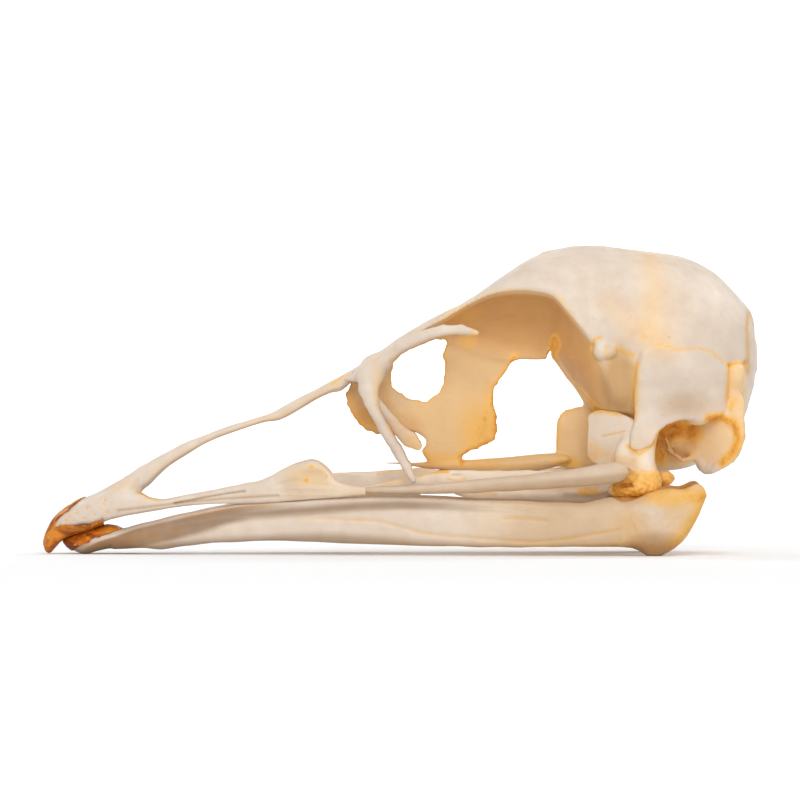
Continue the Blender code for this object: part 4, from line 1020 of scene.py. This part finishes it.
def upper_bill_masks(x, out, z):
    """Honey along the bars, small gold pits, a darker seam line, and painted shade in the slit,
    along the gape and round the hole.
    """
    tone = 0.2 * near(x, z, ((-36, 29.4), (-27, 32), (-20, 36), (-14, 38.6)), 1.1)
    tone += 0.18 * near(x, z, ((-57, 18.5), (-52, 21.5), (-45, 25.6), (-38, 28.2)), 0.9)
    tone += (
        0.2 * within(x, out, z, (-20.5, 15, 18), (4.5, 5, 2.2), 0.5)
        + 0.16 * fade(x, -30, -24) * fade(22 - z, 0, 2)
    )
    tone += 0.1 * near(x, z, BAR_LINE, 0.6)
    stain = 0.45 * near(x, z, ((-16, 39.2), (-13.5, 40.5), (-11.5, 41.2)), 0.5)
    stain += 0.4 * near(x, z, ((-60.5, 14.4), (-58.5, 13.2), (-56, 12.6)), 0.5)
    stain += 0.15 * near(x, z, ((-66, 15.6), (-62, 16.4)), 1.0) * fade(out, 2, 4)
    pits = [(0.7, (pit_x, 6, pit_z), (0.32, 9, 0.2)) for pit_x, pit_z in BILL_PITS]
    stain += spotted(
        x, out, z, (0.8, (-21.5, 15, 17.2), (0.7, 3, 0.5)), (0.7, (-20.4, 15, 20.4), (0.7, 3, 0.4)), *pits,
    )
    # painted shade in the slit between the bars; the bar line is a darker seam
    painted_shade_and_brown = (
        0.75 * near(x, z, BAR_SLIT, 0.22) * fade(out, 6, 8)
        + 0.5 * near(x, z, BAR_LINE, 0.3) * fade(out, 4, 5)
    )
    # painted shade along the gape and round the hole by the side bar
    painted_shade_and_brown += 0.4 * near(x, z, ((-72, 5.9), (-66, 8.3), (-58, 10), (-48, 11.4)), 0.35)
    painted_shade_and_brown += 0.15 * within(x, out, z, (-23, 15, 17.5), (5, 5, 4))
    return tone, stain, painted_shade_and_brown


def upper_horn_masks(x, out, z):
    """For horn, tone is paler, stain is darker and dusk is the brown along its cutting edge."""
    tip = within(x, out, z, (-81.2, 0, 1.2), (2.0, 4, 2.4), 0.6)
    cutting = fade(7.4 - z, 0, 1.2) * fade(x, -79.5, -76.5)
    ridge = fade(z - HORN_TOP_EDGE(x), 0.2, 1.2)
    return 0.25 * ridge * fade(x, -79, -75), 0.5 * cutting + 0.25 * tip, 0.4 * near(x, z, CULMEN_STREAK, 0.7)


def lower_horn_masks(x, out, z):
    """Paler towards the rear and darker at the tip."""
    return 0.6 * fade(x, -71, -66), 0.6 * fade(-73 - x, 0, 3.5), 0.0 * x


def mandible_masks(x, out, z):
    """Painted shade in the groove, under the jaw and at its angle, a brown chin and front, gold joint
    and heel.
    """
    outer = fade(out - JAW_MIDDLE(x), 0, 0.8)
    front = fade(-42 - x, 0, 12)
    # painted shade in the groove below the rim
    groove = near(x, z, JAW_GROOVE, 1.1) * fade(30 - x, 0, 30) * strongest(outer, front)
    # the front half's own brown, together with painted shade in the band below the rim
    brown_low = np.interp(
        x, [-74, -62, -52, -45, -40, -35, -25, -10], [-1, 0.5, 3.0, 5.0, 6.6, 7.8, 8.8, 10.2],
    )
    brown = fade(z - brown_low, -0.6, 1.2) * fade(JAW_HIGH(x) - z, 0.4, 1.1) * fade(-14 - x, 0, 30)
    low_xs = [-74, -62, -50, -36, -23, -14, -4, 5, 15, 30, 40, 50, 56, 71]
    low_zs = [3.0, 3.0, 3.4, 4.4, 5.2, 5.3, 4.6, 3.6, 3.0, 2.8, 3.0, 3.6, 3.4, 4]
    # painted shade on the lower part of the jaw, which faces down, here and in the tone
    under = fade(np.interp(x, low_xs, low_zs) - z, -0.8, 1.6)
    chin = fade(-48 - x, 0, 16) * fade(JAW_HIGH(x) - z, 0.3, 1.0)
    # painted shade under the jaw's angle, here and in the tone
    angle = within(x, out, z, (58.0, 21, 2.0), (7.0, 8, 4.4), 0.6)
    painted_shade_and_brown = strongest(0.85 * groove, 0.7 * under * fade(53 - x, 0, 4), 0.9 * brown, chin, 0.85 * angle)
    painted_shade_and_brown = strongest(painted_shade_and_brown, 0.3 * fade(x, 12, 34) * fade(62 - x, 0, 8), 0.2 * fade(x, 54, 60))
    painted_shade_and_brown = strongest(painted_shade_and_brown, 0.18 * fade(z, JAW_HIGH(x) - 0.9, JAW_HIGH(x) - 0.2) * fade(20 - x, 0, 40))
    seam = near(x, z, JAW_SEAM, 0.28) * outer * (0.7 + 0.3 * ripple(x, 0, 0, 9.0, 31))
    tone = (
        0.26 * fade(x, 5, 35) * fade(58 - x, 0, 6) + 0.25 * chin + 0.3 * under * fade(x, -20, 30)
        + 0.3 * seam
    )
    tone += 0.35 * angle
    joint = within(x, out, z, (61, 21, 13.5), (6.5, 9, 2.4), 0.5)
    rear = near(x, z, ((70.0, 13.5), (68.4, 9.5), (66, 6), (63, 2.6)), 1.7)
    tone += 0.34 * within(x, out, z, (65, 21, 11), (7, 8, 7), 0.5) * fade(x, 56, 62)
    stain = 0.3 * seam + 0.6 * joint + 0.7 * rear + 0.3 * near(x, z, JAW_SCAR, 0.3) * outer
    stain += spotted(
        x, out, z,
        (0.7, (52.6, 17.2, 13.4), (5.4, 4, 2.2), 0.5),
        (0.3, (67.6, 21, 14.5), (2.6, 8, 2.4)),
        (0.28, (54, 21, 7.5), (5, 6, 3), 0.7),
    )
    stain += drawn(
        x, z,
        (0.35, ((-50, 8.4), (-40, 10.4), (-30, 11.6)), 0.3),
        (0.5, ((-52, 5.6), (-51.2, 5.6)), 0.4),
        (0.3, ((-57, 4.6), (-56, 4.7)), 0.5),
    )
    return tone, stain, painted_shade_and_brown


def lacrimal_masks(x, out, z):
    """Honey behind the body, gold ends, and gold with painted shade along the underside of the spur."""
    tone = 0.3 * within(x, out, z, (-5.2, 10, 38.5), (1.3, 5, 6), 0.6)
    tone += 0.3 * fade(11.2 - out, 0, 1) * fade(33 - z, 0, 3)
    stain = (
        0.35 * near(x, z, ((-3, 29.5), (-1.6, 27.6)), 0.4)
        + 0.2 * within(x, out, z, (3, 9.4, 25.5), (2.4, 2, 2))
    )
    # painted shadow line under the spur, with gold along it
    below = near(x, z, ((-2, 44.6), (5, 48.3), (10, 50.0), (13, 50.6)), 0.6)
    stain += 0.3 * below + 0.4 * within(x, out, z, (17.2, 17, 51.2), (1.0, 3, 1.0))
    painted_shade_and_brown = 0.3 * below + 0.22 * within(x, out, z, (-2.5, 12, 27), (5, 4, 9), 0.6)
    return tone, stain, painted_shade_and_brown


def cheek_masks(x, out, z):
    """A little greyer all over, with painted shade along the lower half."""
    middle = (CHEEK_LOW(x) + CHEEK_HIGH(x)) / 2
    # painted shade: the lower half, which faces down
    below = fade(middle - z, -0.3, 0.9)
    return 0.12 + 0.1 * below, 0.15 * fade(x, 49, 52.3), 0.3 + 0.3 * below


def quadrate_masks(x, out, z):
    """Gold foot and seams on a pale plate, with gold and painted shade in the notch of the foot."""
    foot = fade(20.8 - z, 0, 2.6) * fade(x, 47, 51)
    band = near(x, z, ((49, 15.0), (53, 13.9), (58, 13.9), (61, 15)), 0.9)
    inner = fade(x, 57.6, 59.4) * fade(z, 19, 22)
    slit = near(x, z, ((46.4, 27.2), (51.5, 28.5)), 0.2)
    front = fade(47 - x, 0, 3) * fade(24.5 - z, 0, 2)
    stain = 0.75 * foot + 0.6 * band + 0.6 * near(x, z, QUADRATE_SUTURE, 0.55) + 0.5 * slit + 0.55 * inner
    stain += 0.6 * near(x, z, ((44.2, 33), (47, 33.2), (50.5, 32.6)), 0.7) + 0.4 * front
    # painted shade in the notch cut into the foot, with gold stain there too
    hollow = within(x, out, z, (51.2, 21.6, 16.4), (2.6, 2.5, 1.2), 0.4)
    stain += 0.6 * hollow + 0.3 * near(x, z, ((44, 25), (49, 22), (54, 21.5)), 1.6)
    return strongest(0.15 * foot, 0.5 * inner, 0.5 * hollow), stain, 0.4 * hollow


def pterygoid_masks(x, out, z):
    """Gold along the upper edge and at the rear end."""
    stain = drawn(
        x, z,
        (0.75, ((5, 18.6), (8, 18.9), (11, 19.1)), 0.4),
        (0.45, ((11, 17.4), (13, 17.1), (15, 17.6)), 0.3),
        (0.3, ((13, 14.6), (22, 14.2)), 0.6),
        (0.4, ((-4, 16.2), (2, 17.4), (5, 18)), 0.35),
    )
    stain += 0.6 * within(x, out, z, (44, 14, 14.6), (4, 4, 1.2))
    painted_shade_and_brown = (
        0.5 * near(x, z, ((38, 14.0), (44, 13.6), (48, 14.4)), 0.5)
        + 0.2 * near(x, z, ((4, 13.8), (14, 13.8)), 0.8)
    )
    return 0.06 + 0.2 * near(x, z, ((15, 15.9), (25, 15.2), (35, 15.0), (45, 15.6)), 0.8), stain, painted_shade_and_brown


def vomer_masks(x, out, z):
    """A few gold lines."""
    stain = (
        0.5 * near(x, z, ((-14, 13.6), (-2, 14.4), (6, 15.2)), 0.5)
        + 0.3 * near(x, z, ((-5, 18.9), (6, 19.5)), 0.4)
    )
    return 0.1 * fade(x, -6, 8), stain, 0.0 * x


# Materials

def shader_graph(name, roughness):
    """A new material, its node tree and its Principled shader."""
    material = bpy.data.materials.new(name)
    material.use_nodes = True
    tree = material.node_tree
    shader = tree.nodes["Principled BSDF"]
    shader.inputs["Roughness"].default_value = roughness
    shader.inputs["Metallic"].default_value = 0.0
    return material, tree, shader


def noise(tree, scale, detail=4.0, stretch=None, distortion=0.0):
    """A noise pattern in the frame's own coordinates; scale counts bumps in a metre."""
    place = tree.nodes.new("ShaderNodeTexCoord").outputs["Object"]
    if stretch is not None:
        squeeze = tree.nodes.new("ShaderNodeMapping")
        squeeze.inputs["Scale"].default_value = stretch
        tree.links.new(place, squeeze.inputs["Vector"])
        place = squeeze.outputs["Vector"]
    pattern = tree.nodes.new("ShaderNodeTexNoise")
    pattern.inputs["Scale"].default_value = scale
    pattern.inputs["Detail"].default_value = detail
    pattern.inputs["Distortion"].default_value = distortion
    tree.links.new(place, pattern.inputs["Vector"])
    return pattern.outputs["Fac"]


def remap(tree, value, low, high, to_low=0.0, to_high=1.0):
    """The value stretched from low..high to to_low..to_high and held there."""
    node = tree.nodes.new("ShaderNodeMapRange")
    node.inputs["From Min"].default_value = low
    node.inputs["From Max"].default_value = high
    node.inputs["To Min"].default_value = to_low
    node.inputs["To Max"].default_value = to_high
    tree.links.new(value, node.inputs["Value"])
    return node.outputs["Result"]


def blend_colour(tree, amount, under, over, mode="MIX"):
    """Colour over laid on colour under by an amount; each is a socket or a plain colour."""
    node = tree.nodes.new("ShaderNodeMix")
    node.data_type = "RGBA"
    node.blend_type = mode
    for name, value in (("A", under), ("B", over)):
        socket = next(s for s in node.inputs if s.name == name and s.type == "RGBA")
        if isinstance(value, bpy.types.NodeSocket):
            tree.links.new(value, socket)
        else:
            socket.default_value = (*value, 1.0)
    factor = next(s for s in node.inputs if s.name == "Factor" and s.type == "VALUE")
    if isinstance(amount, bpy.types.NodeSocket):
        tree.links.new(amount, factor)
    else:
        factor.default_value = amount
    return next(s for s in node.outputs if s.type == "RGBA")


def product(tree, a, b):
    """Two values multiplied; each is a socket or a plain number."""
    node = tree.nodes.new("ShaderNodeMath")
    node.operation = "MULTIPLY"
    for socket, value in zip(node.inputs, (a, b)):
        if isinstance(value, bpy.types.NodeSocket):
            tree.links.new(value, socket)
        else:
            socket.default_value = value
    return node.outputs["Value"]


def mask(tree, name):
    """A value kept on each point of the mesh."""
    node = tree.nodes.new("ShaderNodeAttribute")
    node.attribute_name = name
    return node.outputs["Fac"]


def relief(tree, shader, layers):
    """Fine bumps: layers of (pattern, height in metres), added one on another."""
    last = None
    for pattern, height in layers:
        bump = tree.nodes.new("ShaderNodeBump")
        bump.inputs["Strength"].default_value = 1.0
        bump.inputs["Distance"].default_value = height
        tree.links.new(pattern, bump.inputs["Height"])
        if last is not None:
            tree.links.new(last, bump.inputs["Normal"])
        last = bump.outputs["Normal"]
    tree.links.new(last, shader.inputs["Normal"])


def colour(red, green, blue):
    """A screen colour out of 255 as the linear colour that shaders use."""

    def linear(part):
        part = part / 255
        return part / 12.92 if part <= 0.04045 else ((part + 0.055) / 1.055) ** 2.4

    return tuple(linear(part) for part in (red, green, blue))


CREAM = colour(217, 201, 184)
PALE = colour(225, 212, 197)
# painted light: the near white that lift blends towards
PAINTED_LIGHT_CREAM = colour(248, 236, 220)
ROSE = colour(209, 187, 168)
HONEY = colour(231, 196, 144)
TAN = colour(203, 146, 82)
GOLD = colour(238, 186, 98)
AMBER = colour(220, 140, 28)
# painted shade: the greyish brown that is multiplied in where shade falls
PAINTED_SHADE_BROWN = colour(176, 154, 131)
# painted shade: the golden brown multiplied into pits
PIT_SHADE = colour(226, 188, 134)
DRIFT = colour(190, 150, 110)
PORE = colour(190, 140, 84)
HORN_PALE = colour(228, 152, 46)
HORN_STAIN = colour(112, 48, 8)
HORN_BROWN = colour(120, 58, 16)
# painted shade for pits in horn
HORN_PIT_SHADE = colour(150, 84, 34)
HORN_FLECK = colour(240, 190, 110)


def halves(tree, value):
    """The lower and the upper half of a 0 to 1 value, each stretched to 0 to 1."""
    return remap(tree, value, 0.0, 0.5), remap(tree, value, 0.5, 1.0)


def bone_material(name, warmth=0.0, lift=0.0):
    """Cleaned bone: cream with rosy clouds, honey to tan where it is thin, gold to amber grease stains,
    painted shade in grooves, pits and on undersides, and painted light (lift) that whitens shaded parts.
    """
    material, tree, shader = shader_graph(name, 0.5)
    clouds = remap(tree, noise(tree, 60, 3.0), 0.38, 0.66)
    mottle = remap(tree, noise(tree, 260, 5.0), 0.42, 0.7)
    grain = noise(tree, 900, 6.0, stretch=(0.35, 1.0, 1.0))
    base = blend_colour(tree, product(tree, clouds, 0.6), CREAM, PALE)
    base = blend_colour(tree, product(tree, mottle, 0.35), base, ROSE)
    base = blend_colour(tree, warmth, base, HONEY)
    # painted light: lift whitens bone that stands in shade or is a thin sheet, as if lit
    base = blend_colour(tree, lift, base, PAINTED_LIGHT_CREAM)
    some, much = halves(tree, mask(tree, "tone"))
    base = blend_colour(tree, some, base, HONEY)
    base = blend_colour(tree, much, base, TAN)
    patches = remap(tree, noise(tree, 1150, 6.0), 0.3, 0.7, 0.6, 0.96)
    some, much = halves(tree, product(tree, mask(tree, "stain"), patches))
    base = blend_colour(tree, some, base, GOLD)
    base = blend_colour(tree, much, base, AMBER)
    # painted shade: greyish brown multiplied into grooves, slits and undersides, and along darker seams
    base = blend_colour(tree, mask(tree, "painted_shade_and_brown"), base, PAINTED_SHADE_BROWN, "MULTIPLY")
    # painted shade: darker in pits, by how sheltered each point is
    base = blend_colour(tree, product(tree, mask(tree, "hollow"), 0.45), base, PIT_SHADE, "MULTIPLY")
    drift = remap(tree, noise(tree, 130, 4.0), 0.35, 0.65)
    base = blend_colour(tree, product(tree, drift, 0.10), base, DRIFT, "MULTIPLY")
    pores = remap(tree, noise(tree, 1500, 2.0), 0.7, 0.76)
    base = blend_colour(tree, product(tree, pores, 0.22), base, PORE)
    tree.links.new(base, shader.inputs["Base Color"])
    tree.links.new(remap(tree, mottle, 0.0, 1.0, 0.42, 0.6), shader.inputs["Roughness"])
    shader.inputs["Subsurface Weight"].default_value = 0.06
    shader.inputs["Subsurface Scale"].default_value = 0.0012
    shader.inputs["Specular IOR Level"].default_value = 0.35
    relief(tree, shader, ((noise(tree, 260, 5.0), 0.00018), (grain, 0.00008), (pores, -0.00008)))
    return material


def horn_material(name, light, dark):
    """Dry horn: streaked along the bill, waxy and partly glossy."""
    material, tree, shader = shader_graph(name, 0.35)
    streaks = remap(tree, noise(tree, 520, 6.0, stretch=(0.22, 1.0, 0.9), distortion=0.9), 0.4, 0.6)
    base = blend_colour(tree, streaks, light, dark)
    base = blend_colour(tree, product(tree, mask(tree, "tone"), 0.8), base, HORN_PALE)
    base = blend_colour(tree, product(tree, mask(tree, "stain"), 0.9), base, HORN_STAIN)
    base = blend_colour(tree, product(tree, mask(tree, "painted_shade_and_brown"), 0.7), base, HORN_BROWN)
    # painted shade: darker in pits, by how sheltered each point is
    base = blend_colour(tree, product(tree, mask(tree, "hollow"), 0.5), base, HORN_PIT_SHADE, "MULTIPLY")
    flecks = remap(tree, noise(tree, 1300, 4.0, stretch=(0.6, 1.0, 1.0)), 0.6, 0.7)
    base = blend_colour(tree, product(tree, flecks, 0.55), base, HORN_FLECK)
    tree.links.new(base, shader.inputs["Base Color"])
    tree.links.new(remap(tree, noise(tree, 700, 4.0), 0.3, 0.7, 0.2, 0.45), shader.inputs["Roughness"])
    shader.inputs["Specular IOR Level"].default_value = 0.3
    shader.inputs["Subsurface Weight"].default_value = 0.04
    shader.inputs["Subsurface Scale"].default_value = 0.001
    relief(tree, shader, ((noise(tree, 900, 5.0, stretch=(0.25, 1.0, 1.0)), 0.0002), (flecks, 0.00005)))
    return material


def flat_material(name, shade, roughness):
    """Plain matt paper, very slightly uneven."""
    material, tree, shader = shader_graph(name, roughness)
    soft = noise(tree, 4, 2.0)
    base = blend_colour(tree, product(tree, soft, 0.02), (shade,) * 3, (shade * 0.97,) * 3)
    tree.links.new(base, shader.inputs["Base Color"])
    shader.inputs["Specular IOR Level"].default_value = 0.1
    return material


# From volumes to pieces

def normals_of(volume, points):
    """Outward directions, from how fast the distance changes."""
    d = volume.step
    slope = np.stack([
        volume.sample(points + np.eye(3)[k] * d) - volume.sample(points - np.eye(3)[k] * d) for k in range(3)
    ], axis=1)
    return slope / np.maximum(np.linalg.norm(slope, axis=1, keepdims=True), 1e-6)


def pit_shade(volume, points, normals):
    """How hollow each place is, from 0 in the open to 1 in a pit; the materials paint shade by it."""
    total = np.zeros(len(points))
    reaches = (0.7, 1.5, 2.4)
    for reach in reaches:
        total += np.clip(1 - volume.sample(points + normals * reach) / reach, 0, 1)
    return np.clip(total / len(reaches) - 0.2, 0, 1)


def build(name, volume, masks, material, side=1):
    """A mesh object from a volume; side -1 puts it on the bird's left, which faces -Y."""
    points, faces = volume.skin()
    normals = normals_of(volume, points)
    # painted shade: the hollow value darkens pits in the materials
    hollow = pit_shade(volume, points, normals)
    tone, stain, painted_shade_and_brown = masks(points[:, 0], np.abs(points[:, 1]), points[:, 2])
    across = np.cross(points[faces[:, 1]] - points[faces[:, 0]], points[faces[:, 2]] - points[faces[:, 0]])
    outward = (across * normals[faces[:, 0]]).sum()
    place = points * (1, side, 1)
    if (outward < 0) != (side < 0):
        faces = faces[:, ::-1]
    low, high = np.array(CAD_BOX[0]) / MM, np.array(CAD_BOX[1]) / MM
    place = np.clip(place, low, high)  # nothing reaches past the solids' box
    mesh = bpy.data.meshes.new(name)
    mesh.from_pydata((place * MM).tolist(), [], faces.tolist())
    mesh.validate()
    mesh.shade_smooth()
    for label, values in (("tone", tone), ("stain", stain), ("painted_shade_and_brown", painted_shade_and_brown), ("hollow", hollow)):
        layer = mesh.attributes.new(label, "FLOAT", "POINT")
        layer.data.foreach_set("value", np.clip(values, 0, 1).astype(np.float32))
    made = bpy.data.objects.new(name, mesh)
    made.data.materials.append(material)
    bpy.context.scene.collection.objects.link(made)
    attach(made, "root")
    print("piece", name, len(mesh.vertices), "points", len(mesh.polygons) * 2, "triangles")
    return made


def add_pieces():
    """Every bone and horn, in the place of its solid; paired bones are built once for both sides."""
    bone = bone_material("skull_bone")
    # painted light: lift whitens these shaded inner bones and thin sheets
    warm_painted_light_bone = bone_material("greasy_bone_painted_light", warmth=0.2, lift=0.5)
    jaw_bone = bone_material("jaw_bone", warmth=0.05)
    upper_horn_look = horn_material("upper_horn", colour(220, 136, 38), colour(156, 76, 10))
    lower_horn_look = horn_material("lower_horn", colour(204, 110, 10), colour(134, 58, 4))
    whole = (
        ("cranium_bone", "cranium", cranium, cranium_masks, bone, "bone"),
        ("upper_bill_bone", "upper_bill", upper_bill, upper_bill_masks, bone, "bone"),
        ("upper_horn_sheath", "upper_bill_horn", upper_horn, upper_horn_masks, upper_horn_look, "horn"),
        ("mandible_bone", "mandible", mandible, mandible_masks, jaw_bone, "bone"),
        ("lower_horn_sheath", "lower_bill_horn", lower_horn, lower_horn_masks, lower_horn_look, "horn"),
        ("vomer_bone", "vomer", vomer, vomer_masks, warm_painted_light_bone, "bone_warm"),
    )
    for name, node, shape, masks, material, slot in whole:
        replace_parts(build(name, shape(), masks, material), node)
    pairs = (
        ("lacrimal", lacrimal, lacrimal_masks, bone, "bone"),
        ("jugal_bar", cheek_bar, cheek_masks, bone, "bone"),
        ("quadrate", quadrate, quadrate_masks, warm_painted_light_bone, "bone_warm"),
        ("pterygoid", pterygoid, pterygoid_masks, warm_painted_light_bone, "bone_warm"),
    )
    for name, shape, masks, material, slot in pairs:
        volume = shape()
        for word, side in (("left", -1), ("right", 1)):
            piece = build(name + "_bone_" + word, volume, masks, material, side)
            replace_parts(piece, name + "_" + word)


# Floor, lights and camera

CAMERA_DISTANCE = 3.0
FRAME_WIDTH = 184.36 * MM  # what the picture shows from side to side, halfway out to the skull's near side
NEAR_SIDE = 8.0 * MM
FRAME_CENTRE = 35.5 * MM  # height of the picture's middle
CAMERA_TILT = math.radians(0.7)
SENSOR = 36.0
WORLD_LIGHT = 0.42


def add_stage():
    """A pale sweep of floor under and behind the skull, and a white surround."""
    side, front, back, rise, bend = 6.0, 5.0, 3.5, 2.4, 0.45
    rows = [(-front, 0.0)]
    rows += [(back + bend * math.sin(a), bend * (1 - math.cos(a))) for a in np.linspace(0, math.pi / 2, 17)]
    rows.append((back + bend, rise))
    points = [(x, y, z) for y, z in rows for x in (-side, side)]
    faces = [(2 * i, 2 * i + 1, 2 * i + 3, 2 * i + 2) for i in range(len(rows) - 1)]
    mesh = bpy.data.meshes.new("floor")
    mesh.from_pydata(points, [], faces)
    mesh.shade_smooth()
    floor = bpy.data.objects.new("floor", mesh)
    floor.data.materials.append(flat_material("paper", 0.88, 0.9))
    bpy.context.scene.collection.objects.link(floor)

    world = bpy.data.worlds.new("studio")
    world.use_nodes = True
    background = world.node_tree.nodes["Background"]
    background.inputs["Color"].default_value = (1.0, 1.0, 1.0, 1.0)
    background.inputs["Strength"].default_value = WORLD_LIGHT
    bpy.context.scene.world = world


def add_light(name, place, target, size, power):
    """A square lamp, aimed at a target and not seen itself."""
    lamp = bpy.data.lights.new(name, "AREA")
    lamp.energy = power
    lamp.size = size
    made = bpy.data.objects.new(name, lamp)
    made.location = place
    aim = mathutils.Vector(np.subtract(target, place))
    made.rotation_mode = "QUATERNION"
    made.rotation_quaternion = aim.to_track_quat("-Z", "Y")
    made.visible_camera = False
    bpy.context.scene.collection.objects.link(made)


def add_lights():
    """A key from above the beak, a fill from the front, a broad top light, and lamps that whiten
    the floor and backdrop.
    """
    middle = (0.0, 0.0, 0.03)
    add_light("key", (-0.36, -0.95, 0.62), middle, 0.45, 3.3)
    add_light("fill", (0.15, -1.6, 0.3), middle, 0.8, 3.3)
    add_light("top", (0.4, -0.2, 1.05), middle, 0.7, 3.6)
    add_light("front_floor", (0.3, -1.5, 0.8), (0.1, -1.3, 0.0), 0.6, 8.0)
    for name, x in (("left", -0.75), ("right", 0.75)):
        for row, y, power in (("near", 0.55, 9.0), ("middle", 1.75, 11.0), ("far", 3.0, 13.0)):
            add_light("backdrop_" + row + "_" + name, (x, y, 0.7), (0.0, y + 0.8, 0.25), 0.5, power)


def add_camera():
    """A long lens square on the bird's left side, tilted down a little."""
    lens = bpy.data.cameras.new("camera")
    lens.sensor_width = SENSOR
    lens.lens = SENSOR * (CAMERA_DISTANCE - NEAR_SIDE) / FRAME_WIDTH
    lens.clip_start = 0.01
    lens.clip_end = 20.0
    camera = bpy.data.objects.new("camera", lens)
    away, up = CAMERA_DISTANCE * math.cos(CAMERA_TILT), CAMERA_DISTANCE * math.sin(CAMERA_TILT)
    camera.location = (0.0, -away, FRAME_CENTRE + up)
    camera.rotation_euler = (math.pi / 2 - CAMERA_TILT, 0.0, 0.0)
    bpy.context.scene.collection.objects.link(camera)
    bpy.context.scene.camera = camera


add_pieces()
add_stage()
add_lights()
add_camera()
bpy.context.scene.view_settings.view_transform = "Standard"
